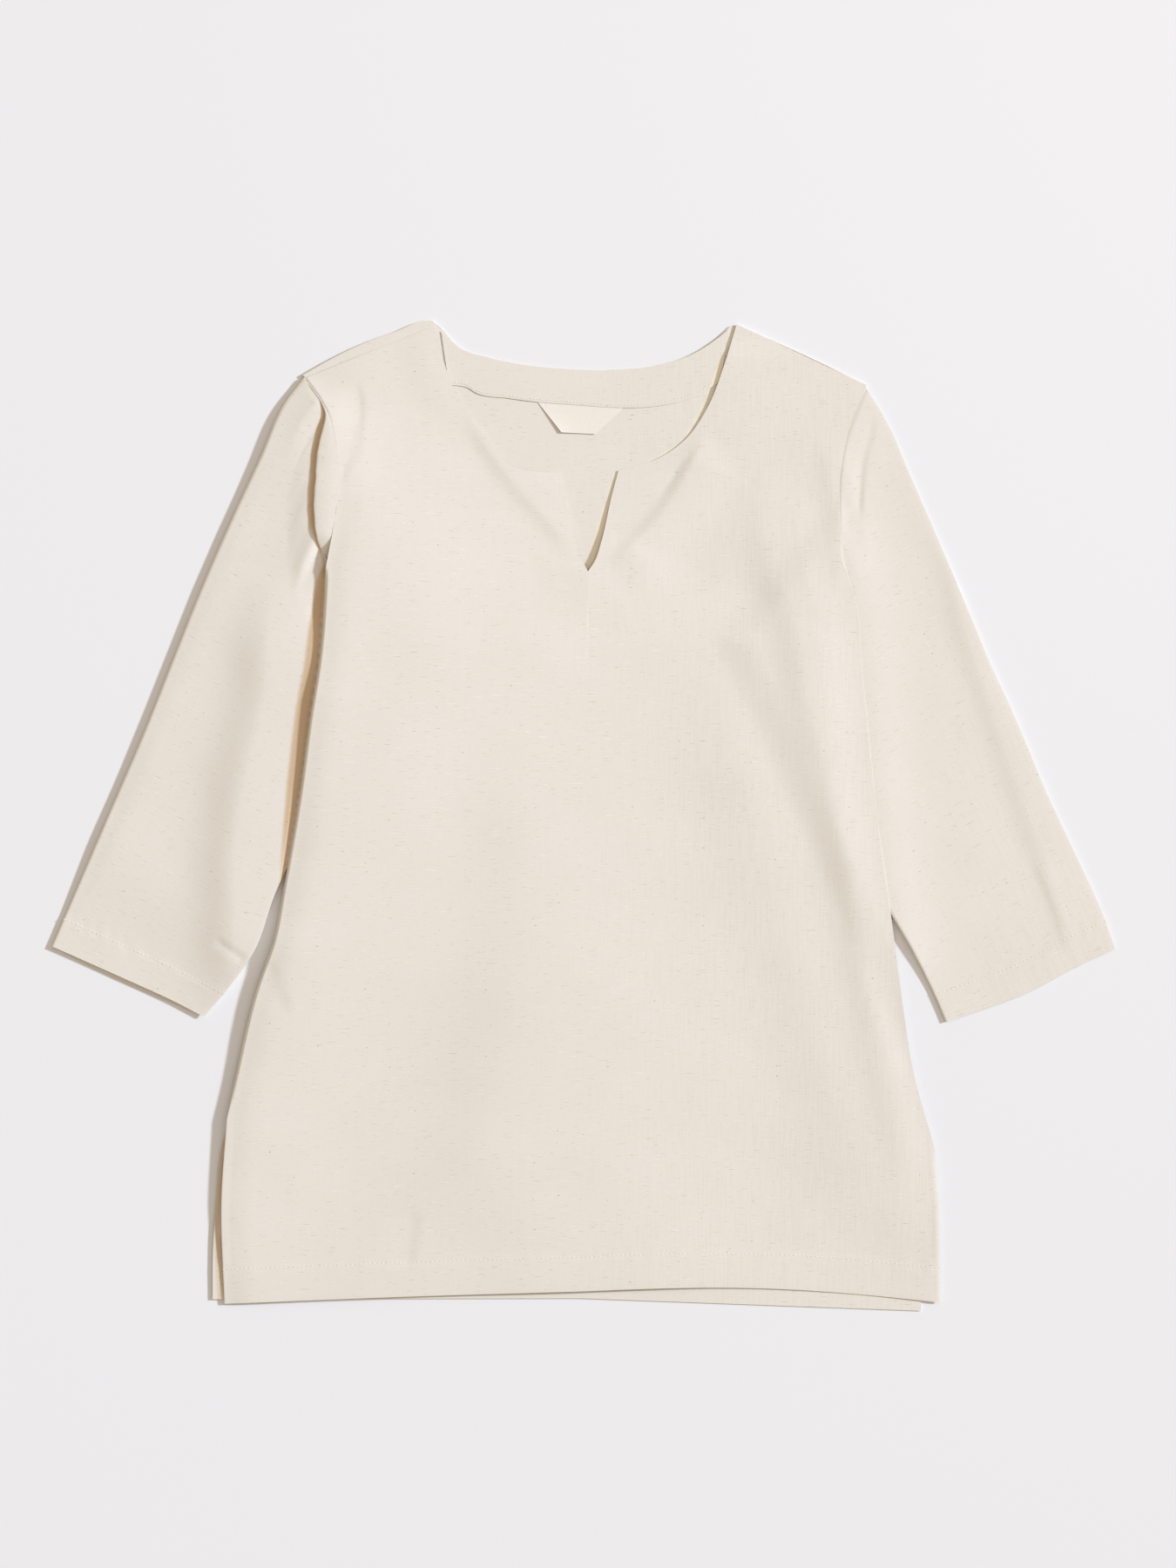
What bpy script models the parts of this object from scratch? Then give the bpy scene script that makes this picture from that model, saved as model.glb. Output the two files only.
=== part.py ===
"""Kurta tunic laid flat, front side up, with both sleeves swung down beside the body.

Left and right are as seen from above, with the neck at the top (+Y).
Tables and sizes are in millimetres; meshes are made in metres, +Z up.
"""
import math

import bmesh
import bpy
import numpy as np

MM = 0.001

# Cloth walls, the gap at a seam, and the gaps between pieces that lie on each other
WALL = 1.2
LABEL_WALL = 1.0
SEAM_GAP = 0.4
LAYER_GAP = 0.6
FACING_LIFT = 0.3

# Middle of the laid garment, which is set on the origin
MIDDLE_X = 0.0
MIDDLE_Y = 0.1

# Outer edges of the front from the hem upwards: the vent, the side to where the
# armhole seam comes out, the low armhole beside the slit, and the rest of the armhole
FRONT_OUTER = {
    "left": {
        "vent": ((-276.5, -375.4), (-278.7, -297.6), (-274.5, -234.0)),
        "side": ((-274.5, -234.0), (-250.4, -130.2), (-230.9, -56.5), (-217.6, 20.6),
                 (-210.4, 74.2), (-203.5, 117.8), (-198.8, 176.7), (-198.3, 189.4)),
        "low armhole": ((-198.3, 189.4), (-190.7, 231.7), (-187.0, 259.8)),
        "armhole": ((-187.0, 259.8), (-190.1, 285.2), (-196.1, 308.0), (-202.5, 320.1),
                    (-214.2, 336.2)),
    },
    "right": {
        "vent": ((273.6, -374.4), (272.6, -297.6), (269.5, -257.4)),
        "side": ((269.5, -257.4), (251.5, -190.5), (244.8, -145.9), (235.4, -75.2),
                 (227.3, -19.6), (218.6, 58.8), (213.6, 111.1), (209.0, 161.3),
                 (197.9, 198.2)),
        "low armhole": ((197.9, 198.2), (196.3, 231.0), (196.3, 260.5)),
        "armhole": ((196.3, 260.5), (198.9, 279.2), (203.2, 297.3), (209.9, 314.1),
                    (216.4, 329.3)),
    },
}
# Inner edges of the front halves: the middle line up to the slit, the slit, the neckline
FRONT_MIDDLE = {
    "vent": ((-1.8, -365.7), (-1.0, -245.0)),
    "side": ((-1.0, -245.0), (2.9, 187.4)),
}
FRONT_INNER = {
    "left": {
        "low armhole": ((2.9, 187.4), (-2.7, 198.5), (-8.7, 218.9), (-19.9, 263.1)),
        "armhole": ((-19.9, 263.1), (-55.4, 268.5), (-79.5, 293.3), (-94.3, 314.7),
                    (-104.3, 338.2), (-115.7, 376.0)),
    },
    "right": {
        "low armhole": ((2.9, 187.4), (8.2, 195.5), (13.3, 210.9), (21.0, 245.0),
                        (26.3, 265.1)),
        "armhole": ((26.3, 265.1), (57.2, 274.5), (79.3, 290.6), (94.7, 313.4),
                    (108.7, 349.6), (116.4, 375.8)),
    },
}

# The back shows beside the left vent, below the hem and through the neck; elsewhere it
# lies just inside the front's edge
BACK_VENT = {
    "left": ((-285.7, -372.0), (-285.2, -331.1), (-282.5, -294.3), (-278.7, -256.1),
             (-273.4, -234.0)),
    "right": ((258.8, -381.0), (262.0, -320.0), (268.0, -257.4)),
}
BACK_MIDDLE = {
    "vent": ((-1.8, -371.4), (-1.0, -245.0)),
    "side": ((-1.0, -245.0), (2.9, 187.4)),
    "low armhole": ((2.9, 187.4), (4.5, 262.0)),
    "high armhole": ((4.5, 262.0), (12.9, 342.2)),
}
BACK_NECK = {
    "left": ((12.9, 342.2), (-13.9, 343.2), (-48.7, 346.9), (-74.2, 352.3), (-93.6, 358.3),
             (-113.5, 379.0)),
    "right": ((12.9, 342.2), (53.1, 345.5), (80.6, 353.9), (101.4, 366.6), (116.0, 379.6)),
}
ARMHOLE_SPLIT = 0.55
BACK_INSET = 1.1
BACK_SIDE_INSET = 2.1

# The shoulders' top edges: the back rolls over to the front on the left, and comes up to
# the seam, a quarter turn, on the right
SHOULDER_TOP = {
    "left": ((-216.4, 338.6), (-197.1, 349.6), (-180.0, 358.3), (-164.6, 365.0),
             (-145.9, 371.7), (-121.7, 380.4), (-116.5, 380.6)),
    "right": ((217.2, 330.8), (180.8, 348.6), (117.1, 377.4)),
}
SHOULDER_TURN = {"left": math.pi, "right": math.pi / 2}
SHOULDER_LEVEL = 3.1
ROLL_STEPS = 4

# Sleeves: outer edge from the shoulder to the cuff, inner edge from the hidden underarm
# to the cuff, and the cuff from its outer to its inner corner
SLEEVES = {
    "left": {
        "outer": ((-215.6, 336.8), (-231.6, 317.7), (-251.7, 275.2), (-273.2, 229.0),
                  (-295.6, 174.0), (-316.7, 117.8), (-336.1, 68.8), (-366.3, -1.5),
                  (-393.1, -63.8), (-409.0, -100.7)),
        "underarm": (-144.5, 127.8),
        "inner": ((-144.5, 127.8), (-190.0, 32.0), (-238.3, -63.8), (-252.4, -103.3),
                  (-275.2, -135.5), (-291.9, -154.9)),
        "cuff": ((-409.0, -100.7), (-354.9, -124.8), (-314.0, -143.5), (-291.9, -154.9)),
    },
    "right": {
        "outer": ((218.7, 331.0), (232.7, 306.7), (252.8, 259.1), (272.9, 211.6),
                  (294.3, 160.6), (311.1, 117.8), (377.4, -29.6), (400.2, -79.2),
                  (408.6, -102.7)),
        "underarm": (140.2, 131.2),
        "inner": ((140.2, 131.2), (188.0, 26.0), (235.4, -75.2), (252.1, -104.0),
                  (270.9, -141.5), (278.2, -158.9)),
        "cuff": ((408.6, -102.7), (382.8, -114.1), (339.2, -136.8), (295.7, -152.9),
                 (278.2, -158.9)),
    },
}

# How high the front's side edge stands over the back, by place along the garment, and how
# far in from the edge that rise reaches
SIDE_RISE = {
    "left": {"y": (-375, -300, -234, -130, -64, 0, 118, 190, 260, 300, 336),
             "rise": (3.0, 5.0, 5.5, 5.5, 4.4, 3.0, 3.0, 3.2, 3.8, 2.0, 0.5)},
    "right": {"y": (-374, -257, -150, -75, 0, 100, 198, 260, 300, 330),
              "rise": (1.2, 2.0, 2.6, 2.2, 1.6, 1.6, 2.0, 2.0, 1.2, 0.5)},
}
SIDE_REACH = {"left": 62.0, "right": 55.0}
# The body lies on the inner part of each sleeve: how far that lifts it, more at the edge,
# and how far from the hidden sleeve the lift fades out
TUCK_RISE = 3.6
TUCK_EXTRA = {"left": 2.4, "right": 0.8}
TUCK_START = 8.0
TUCK_REACH = 40.0
TUCK_EDGE_REACH = 34.0
TUCK_CLEARANCE = 0.7
TUCK_CLEAR_REACH = 66.0
# The front's side edge rolls down to the back between the vent and the armhole
CURL_REACH = 3.5
CURL_FADE = 12.0

# Largest folds of the front: a soft ridge along a path, with its height and its widths
# on the left and on the right of the path
FRONT_FOLDS = (
    {"name": "right side fold", "height": 2.0, "left": 11.0, "right": 24.0,
     "path": ((143.0, 286.0), (158.0, 172.0), (178.0, 70.0), (197.0, -10.0),
              (217.0, -100.0), (240.0, -180.0), (258.0, -265.0))},
    {"name": "middle fold", "height": 1.5, "left": 18.0, "right": 34.0,
     "path": ((84.0, 82.0), (108.0, 8.0), (136.0, -72.0), (160.0, -157.0), (190.0, -242.0),
              (228.0, -316.0))},
    {"name": "left middle fold", "height": 0.9, "left": 40.0, "right": 40.0,
     "path": ((-50.0, 36.0), (-75.0, -60.0), (-95.0, -190.0))},
    {"name": "left neck fold", "height": 1.2, "left": 9.0, "right": 12.0,
     "path": ((-79.0, 281.0), (-44.0, 238.0), (-8.0, 196.0))},
    {"name": "right neck fold", "height": 1.2, "left": 7.0, "right": 24.0,
     "path": ((90.0, 286.0), (76.0, 262.0), (62.0, 240.0), (42.0, 216.0), (14.0, 190.0))},
    {"name": "left neck point", "height": 1.2, "left": 9.0, "right": 14.0,
     "path": ((-118.0, 366.0), (-119.0, 344.0))},
    {"name": "right armhole fold", "height": 1.4, "left": 9.0, "right": 10.0,
     "path": ((186.0, 270.0), (190.0, 225.0), (196.0, 172.0))},
)
# How far the neckline stands over the back, round each flap; both flaps have one height
# where they meet at the slit's lower end
NECK_RISE = {
    "left": {"y": (188, 205, 263, 300, 340, 377), "rise": (2.6, 1.0, 1.0, 1.2, 1.2, 1.0)},
    "right": {"y": (188, 263, 300, 350, 377), "rise": (2.6, 3.0, 3.8, 4.4, 1.2)},
}
NECK_REACH = 42.0
SLIT_FADE = (163.0, 187.0)
# The front also clears the neck facing under it
FACING_ROOM = 1.6
FACING_ROOM_START = (295.0, 318.0)
FACING_ROOM_REACH = (8.0, 40.0)

# Middle of a sleeve's upper wall: under the body, its rise beside the body, and at the
# cuff; the shares of its length over which it levels out at each end
SLEEVE_LOW = 2.3
SLEEVE_RISE = 1.9
SLEEVE_EASE = (1.5, 26.0)
CUFF_LEVEL = 2.2
CUFF_LEVEL_REACH = 0.22
SEAM_BLEND = 0.13
SEAM_DIP = (4.0, 44.0)
# The soft ridge that each sleeve has along its length
SLEEVE_FOLDS = {
    "left": ({"name": "sleeve ridge", "height": 1.6, "left": 14.0, "right": 40.0,
              "path": ((-236.0, 200.0), (-254.0, 100.0), (-272.0, 0.0), (-290.0, -95.0))},),
    "right": ({"name": "sleeve ridge", "height": 1.5, "left": 16.0, "right": 10.0,
               "path": ((262.0, 205.0), (318.0, 80.0), (360.0, -15.0), (388.0, -85.0))},),
}

# Neck facing: its lower edge, and its upper edge just inside the back's neckline
FACING_LOWER = ((-104.0, 330.0), (-83.1, 324.8), (-58.1, 320.7), (-38.7, 318.1),
                (31.0, 313.4), (50.5, 314.0), (86.6, 322.7), (105.0, 334.0))
FACING_UPPER = ((-110.0, 372.0), (-93.6, 357.4), (-74.2, 351.4), (-48.7, 346.0),
                (-13.9, 342.3), (12.9, 341.3), (53.1, 344.6), (80.6, 353.0),
                (101.4, 365.7), (111.0, 373.5))
# Neck label, sewn under the facing's lower edge
LABEL_TOP_LEFT = (-36.2, 315.6)
LABEL_TOP_RIGHT = (30.2, 311.6)
LABEL_BOTTOM_LEFT = (-17.5, 294.4)
LABEL_BOTTOM_RIGHT = (8.6, 293.1)

# Rows of each stretch of a panel, and columns of a half panel
FRONT_ROWS = {"vent": 6, "side": 18, "low armhole": 4, "armhole": 7}
BACK_ROWS = {"vent": 5, "side": 14, "low armhole": 3, "high armhole": 4, "shoulder": 5}
FRONT_COLUMNS = 15
BACK_COLUMNS = 10
EDGE_COLUMNS = (14.0, 7.0, 3.0, 1.0, 0.0)
BACK_EDGE_COLUMNS = (12.0, 0.0)
SLEEVE_STATIONS = 21
SLEEVE_SPREAD = 1.15
SLEEVE_COLUMNS = 13
FACING_GRID = (5, 25)
LABEL_GRID = (4, 8)
PATH_POINTS = 24
FOLD_FADE = 0.22
WELD = 0.00002
# How far a sleeve's folded edge stands out past its two layers
SLEEVE_EDGE = 1.3
# How far the front hem bows up between its middle and its corners
HEM_BOW = {"left": 0.6, "right": 6.5}
HEM_BOW_REACH = 110.0

CLOTH_COLOUR = (0.80, 0.74, 0.65, 1.0)
LABEL_COLOUR = (0.84, 0.79, 0.71, 1.0)
CLOTH_ROUGHNESS = 0.9


def ease(start, end, value):
    """Smooth step from 0 at start to 1 at end."""
    share = np.clip((value - start) / (end - start), 0.0, 1.0)
    return share * share * (3.0 - 2.0 * share)


def curve(points, shares):
    """Points at shares of the length of a smooth curve through the given points."""
    points = np.array(points, float)
    knots = np.concatenate([[0.0], np.cumsum(np.linalg.norm(np.diff(points, axis=0), axis=1))])
    slopes = np.gradient(points, knots, axis=0)
    along = np.clip(np.asarray(shares, float), 0.0, 1.0) * knots[-1]
    index = np.clip(np.searchsorted(knots, along, side="right") - 1, 0, len(knots) - 2)
    step = knots[index + 1] - knots[index]
    part = ((along - knots[index]) / step)[:, None]
    step = step[:, None]
    return ((2 * part**3 - 3 * part**2 + 1) * points[index]
            + (part**3 - 2 * part**2 + part) * step * slopes[index]
            + (3 * part**2 - 2 * part**3) * points[index + 1]
            + (part**3 - part**2) * step * slopes[index + 1])


def path_distance(x, y, line):
    """Distance to a line of points, how far along it, and which side of it (+1 to its right)."""
    best = np.full(x.shape, np.inf)
    place = np.zeros_like(x)
    aside = np.zeros_like(x)
    for index, (start, end) in enumerate(zip(line, line[1:])):
        step = end - start
        share = ((x - start[0]) * step[0] + (y - start[1]) * step[1]) / (step @ step)
        share = np.clip(share, 0.0, 1.0)
        near_x = start[0] + share * step[0]
        near_y = start[1] + share * step[1]
        far = np.hypot(x - near_x, y - near_y)
        closer = far < best
        best = np.where(closer, far, best)
        place = np.where(closer, (index + share) / (len(line) - 1), place)
        aside = np.where(closer, np.sign(x - near_x), aside)
    return best, place, aside


def fold_height(x, y, folds):
    """Height of the soft ridges at a place; each fades out towards its ends."""
    total = np.zeros_like(x)
    for fold in folds:
        line = curve(fold["path"], np.linspace(0.0, 1.0, PATH_POINTS))
        distance, place, aside = path_distance(x, y, line)
        width = np.where(aside < 0.0, fold["left"], fold["right"])
        fade = ease(0.0, FOLD_FADE, place) * ease(0.0, FOLD_FADE, 1.0 - place)
        total += fold["height"] * np.exp(-(distance / width) ** 2) * fade
    return total


def side_sign(side):
    return -1.0 if side == "left" else 1.0


def tuck_share(x, y, side, reach=TUCK_REACH):
    """How fully a sleeve lies under the body at a place, from 0 to 1."""
    split = np.array(FRONT_OUTER[side]["low armhole"][0])
    under = np.array(SLEEVES[side]["underarm"])
    leave = np.array(SLEEVES[side]["inner"][2])
    sign = side_sign(side)
    upper = (under - split) / np.linalg.norm(under - split)
    lower = (leave - under) / np.linalg.norm(leave - under)
    over_upper = -sign * ((x - split[0]) * -upper[1] + (y - split[1]) * upper[0])
    over_lower = -sign * ((x - under[0]) * -lower[1] + (y - under[1]) * lower[0])
    outside = np.maximum(over_upper, over_lower)
    return 1.0 - ease(TUCK_START, reach, outside)


def back_height(x, y, side, from_edge):
    """Middle of the back's wall: flat on the floor, and raised where a sleeve is under it."""
    tucked = tuck_share(x, y, side)
    extra = TUCK_EXTRA[side] * (1.0 - ease(0.0, TUCK_EDGE_REACH, from_edge))
    return WALL / 2 + tucked * (TUCK_RISE + extra)


def front_height(x, y, side, from_edge, from_inner):
    """Middle of the front's wall, over the back, with its folds and its raised edges."""
    table = SIDE_RISE[side]
    rise = np.interp(y, table["y"], table["rise"])
    edge = rise * (1.0 - ease(0.0, SIDE_REACH[side], from_edge))
    neck_table = NECK_RISE[side]
    neck = np.interp(y, neck_table["y"], neck_table["rise"]) * ease(*SLIT_FADE, y)
    neck = neck * (1.0 - ease(0.0, NECK_REACH, from_inner))
    room = FACING_ROOM * ease(*FACING_ROOM_START, y)
    room = room * (1.0 - ease(*FACING_ROOM_REACH, from_inner))
    around_tuck = tuck_share(x, y, side, TUCK_CLEAR_REACH)
    level = back_height(x, y, side, from_edge) + WALL + LAYER_GAP
    level += TUCK_CLEARANCE * around_tuck
    return level + edge + np.maximum(neck, room) + fold_height(x, y, FRONT_FOLDS)


def column_places(length, count, edges):
    """Distances from the outer edge, from the inner edge of a row to its outer edge."""
    even = np.linspace(length, edges[0], count, endpoint=False)
    return np.concatenate([even, edges])


def half_plan(side, outer, inner, rows, count, edges, bow):
    """Plan of a half panel, row by row, with each point's distance from both edges."""
    outer_points = []
    inner_points = []
    for name, number in rows.items():
        first = 1 if outer_points else 0
        shares = np.linspace(0.0, 1.0, number + 1)[first:]
        outer_points.append(curve(outer[name], shares))
        inner_points.append(curve(inner[name], shares))
    outer_points = np.concatenate(outer_points)
    inner_points = np.concatenate(inner_points)
    plan = []
    for start, end in zip(inner_points, outer_points):
        length = np.linalg.norm(end - start)
        places = column_places(length, count, edges)
        share = 1.0 - places / length
        row = start + (end - start) * share[:, None]
        over_hem = start[1] - inner_points[0][1]
        row[:, 1] += bow * np.sin(math.pi * share) * (1.0 - ease(0.0, HEM_BOW_REACH, over_hem))
        plan.append(np.column_stack([row, places, length - places]))
    return np.array(plan)


def front_half(side):
    outer = FRONT_OUTER[side]
    inner = {**FRONT_MIDDLE, **FRONT_INNER[side]}
    plan = half_plan(side, outer, inner, FRONT_ROWS, FRONT_COLUMNS, EDGE_COLUMNS,
                     HEM_BOW[side])
    x, y, from_edge, from_inner = np.moveaxis(plan, 2, 0)
    height = front_height(x, y, side, from_edge, from_inner)
    low = back_height(x, y, side, from_edge)
    vent_top = outer["vent"][-1][1]
    seam_end = outer["low armhole"][0][1]
    outer_y = y[:, -1:]
    curled = ease(vent_top, vent_top + CURL_FADE, outer_y)
    curled = curled * (1.0 - ease(seam_end - CURL_FADE, seam_end, outer_y))
    round_share = np.clip(1.0 - from_edge / CURL_REACH, 0.0, 1.0)
    drop = (height - low) * (1.0 - np.sqrt(1.0 - round_share**2))
    return np.stack([x, y, height - drop * curled], axis=-1)


def shoulder_roll(side, count):
    """Rows that carry the back up and over the shoulder to its seam with the front."""
    outline = curve(SHOULDER_TOP[side], np.linspace(1.0, 0.0, count))
    neck_point = FRONT_INNER[side]["armhole"][-1]
    shoulder_point = FRONT_OUTER[side]["armhole"][-1]
    seam = np.linspace(neck_point, shoulder_point, count)
    across = outline - seam
    reach = np.linalg.norm(across, axis=1, keepdims=True)
    direction = across / reach
    lift = (SHOULDER_LEVEL - WALL / 2) / 2
    rows = []
    for step in range(ROLL_STEPS + 1):
        turn = SHOULDER_TURN[side] * step / ROLL_STEPS - math.pi / 2
        plan = outline - direction * lift * (1.0 - math.cos(turn))
        height = np.full(count, WALL / 2 + lift * (1.0 + math.sin(turn)))
        rows.append(np.column_stack([plan, height]))
    if SHOULDER_TURN[side] == math.pi:
        seam_row = seam + direction * SEAM_GAP
        rows.append(np.column_stack([seam_row, np.full(count, SHOULDER_LEVEL)]))
    return rows


def split_armhole(side):
    """The back's armhole in two stretches, with their ends where the shoulder rows start."""
    path = FRONT_OUTER[side]["armhole"]
    lower = curve(path, np.linspace(0.0, ARMHOLE_SPLIT, 5))
    upper = curve(path, np.linspace(ARMHOLE_SPLIT, 1.0, 5))
    return lower, upper


def inset(points, side, amount):
    moved = np.array(points, float)
    moved[:, 0] -= side_sign(side) * amount
    return moved


def back_half(side):
    lower, upper = split_armhole(side)
    outer = {
        "vent": BACK_VENT[side],
        "side": inset(FRONT_OUTER[side]["side"], side, BACK_SIDE_INSET),
        "low armhole": inset(FRONT_OUTER[side]["low armhole"], side, BACK_INSET),
        "high armhole": inset(lower, side, BACK_INSET),
        "shoulder": inset(upper, side, BACK_INSET),
    }
    inner = {**BACK_MIDDLE, "shoulder": BACK_NECK[side]}
    plan = half_plan(side, outer, inner, BACK_ROWS, BACK_COLUMNS, BACK_EDGE_COLUMNS, 0.0)
    x, y, from_edge, _ = np.moveaxis(plan, 2, 0)
    height = back_height(x, y, side, from_edge)
    return np.stack([x, y, height], axis=-1)


def back_with_roll(side):
    half = back_half(side)
    rows = shoulder_roll(side, half.shape[1])
    return np.concatenate([half[:-1], np.array(rows)], axis=0)


def sleeve_end(side, shares):
    """Line of the sleeve's open end: the armhole seam, then under the body."""
    armhole = np.array(FRONT_OUTER[side]["armhole"][::-1])
    low = np.array(FRONT_OUTER[side]["low armhole"][::-1])
    visible = np.concatenate([armhole, low[1:]])
    visible[:, 0] += side_sign(side) * SEAM_GAP * 2
    under = np.array(SLEEVES[side]["underarm"])
    middle = (visible[-1] + under) / 2
    return curve(np.vstack([visible, middle, under]), shares)


def sleeve_plan(side, across, along):
    """Plan of a sleeve as a patch between its four edges."""
    parts = SLEEVES[side]
    end = sleeve_end(side, across)
    cuff = curve(parts["cuff"], across)
    outer = curve(parts["outer"], along)
    inner = curve(parts["inner"], along)
    u = across[None, :, None]
    s = along[:, None, None]
    lofted = (1 - s) * end[None] + s * cuff[None] + (1 - u) * outer[:, None] + u * inner[:, None]
    corners = ((1 - s) * ((1 - u) * end[0] + u * end[-1])
               + s * ((1 - u) * cuff[0] + u * cuff[-1]))
    return lofted - corners


def body_edge_x(side, y):
    """Where the body's side edge or armhole seam is at a place along the garment."""
    points = np.concatenate([
        np.array(FRONT_OUTER[side][name]) for name in ("side", "low armhole", "armhole")])
    return np.interp(y, points[:, 1], points[:, 0])


def sleeve_top(side, plan, across, along):
    """Middle of the sleeve's upper wall."""
    x, y = plan[..., 0], plan[..., 1]
    out = side_sign(side) * (x - body_edge_x(side, y))
    open_share = ease(*SLEEVE_EASE, out)
    height = SLEEVE_LOW + open_share * (SLEEVE_RISE + fold_height(x, y, SLEEVE_FOLDS[side]))
    to_cuff = ease(1.0 - CUFF_LEVEL_REACH, 1.0, along)[:, None]
    height = height + (CUFF_LEVEL - height) * to_cuff
    seam = seam_height(side, across)[None, :]
    near_seam = 1.0 - ease(0.0, SEAM_BLEND, along)[:, None]
    return height + (seam - height) * near_seam


def seam_height(side, across):
    """Height of the sleeve's upper wall along its open end."""
    end = sleeve_end(side, across)
    x, y = end[:, 0], end[:, 1]
    table = SIDE_RISE[side]
    rise = np.interp(y, table["y"], table["rise"])
    level = WALL / 2 + WALL + LAYER_GAP + rise
    seam_end = FRONT_OUTER[side]["low armhole"][0][1]
    return SLEEVE_LOW + (level - SLEEVE_LOW) * ease(*SEAM_DIP, y - seam_end)


def sleeve_rings(side):
    across = np.linspace(0.0, 1.0, SLEEVE_COLUMNS)
    along = np.linspace(0.0, 1.0, SLEEVE_STATIONS) ** SLEEVE_SPREAD
    plan = sleeve_plan(side, across, along)
    top = sleeve_top(side, plan, across, along)
    direction = plan[:, -1] - plan[:, 0]
    direction = direction / np.linalg.norm(direction, axis=1, keepdims=True)
    inner_plan = plan.copy()
    inner_plan[:, 0] += direction * SLEEVE_EDGE
    inner_plan[:, -1] -= direction * SLEEVE_EDGE
    floor = np.full_like(top, WALL / 2)
    upper = np.concatenate([inner_plan, top[..., None]], axis=-1)
    lower = np.concatenate([inner_plan, floor[..., None]], axis=-1)
    outer_edge = np.column_stack([plan[:, 0], (top[:, 0] + WALL / 2) / 2])
    inner_edge = np.column_stack([plan[:, -1], (top[:, -1] + WALL / 2) / 2])
    return np.concatenate([outer_edge[:, None], upper, inner_edge[:, None], lower[:, ::-1]], axis=1)


def flat_grid(lower, upper, rows, wall):
    """Points between two edges, lying on the back's inner side."""
    share = np.linspace(0.0, 1.0, rows)[:, None, None]
    plan = lower + (upper - lower) * share
    height = np.full(plan.shape[:2] + (1,), WALL + FACING_LIFT + wall / 2)
    return np.concatenate([plan, height], axis=-1)


def facing_grid():
    rows, columns = FACING_GRID
    shares = np.linspace(0.0, 1.0, columns)
    return flat_grid(curve(FACING_LOWER, shares), curve(FACING_UPPER, shares), rows, WALL)


def label_grid():
    rows, columns = LABEL_GRID
    bottom = np.linspace(LABEL_BOTTOM_LEFT, LABEL_BOTTOM_RIGHT, columns)
    top = np.linspace(LABEL_TOP_LEFT, LABEL_TOP_RIGHT, columns)
    return flat_grid(bottom, top, rows, LABEL_WALL)


def make_material(name, colour):
    material = bpy.data.materials.new(name)
    material.use_nodes = True
    shader = material.node_tree.nodes["Principled BSDF"]
    shader.inputs["Base Color"].default_value = colour
    shader.inputs["Roughness"].default_value = CLOTH_ROUGHNESS
    shader.inputs["Metallic"].default_value = 0.0
    return material


def add_grid(mesh, grid, closed=False):
    """Faces of one grid of points, given in millimetres."""
    rows = []
    for row in grid:
        rows.append([mesh.verts.new(((x - MIDDLE_X) * MM, (y - MIDDLE_Y) * MM, z * MM))
                     for x, y, z in row])
    for first, second in zip(rows, rows[1:]):
        count = len(first) if closed else len(first) - 1
        for index in range(count):
            after = (index + 1) % len(first)
            mesh.faces.new((first[index], first[after], second[after], second[index]))


def make_piece(name, grids, colour, collection, wall=WALL, closed=False):
    """A cloth piece: its middle surface, given its wall by Solidify."""
    mesh = bmesh.new()
    for grid in grids:
        add_grid(mesh, grid, closed)
    bmesh.ops.remove_doubles(mesh, verts=mesh.verts, dist=WELD)
    bmesh.ops.recalc_face_normals(mesh, faces=mesh.faces)
    data = bpy.data.meshes.new(name)
    mesh.to_mesh(data)
    mesh.free()
    data.materials.append(make_material(name + "_cloth", colour))
    data.shade_smooth()
    piece = bpy.data.objects.new(name, data)
    collection.objects.link(piece)
    shell = piece.modifiers.new("wall", "SOLIDIFY")
    shell.thickness = wall * MM
    shell.offset = 0.0
    shell.use_even_offset = True
    shell.use_quality_normals = True
    return piece


def main():
    for old in list(bpy.data.objects):
        bpy.data.objects.remove(old)
    collection = bpy.data.collections.new("kurta_tunic")
    bpy.context.scene.collection.children.link(collection)
    make_piece("front_panel", [front_half("left")[:, ::-1], front_half("right")],
               CLOTH_COLOUR, collection)
    make_piece("back_panel", [back_with_roll("left")[:, ::-1], back_with_roll("right")],
               CLOTH_COLOUR, collection)
    for side in SLEEVES:
        make_piece("sleeve_" + side, [sleeve_rings(side)], CLOTH_COLOUR, collection,
                   closed=True)
    make_piece("back_neck_facing", [facing_grid()], CLOTH_COLOUR, collection)
    make_piece("neck_label", [label_grid()], LABEL_COLOUR, collection, wall=LABEL_WALL)


main()
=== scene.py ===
"""Looks of a kurta tunic laid flat: thin cloth shells, sewing and cloth materials.

Tables are in millimetres, in the same frame as the solids; meshes are made in metres.
Left and right are as seen from above, with the neck at the top (+Y).
"""

import math

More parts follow.
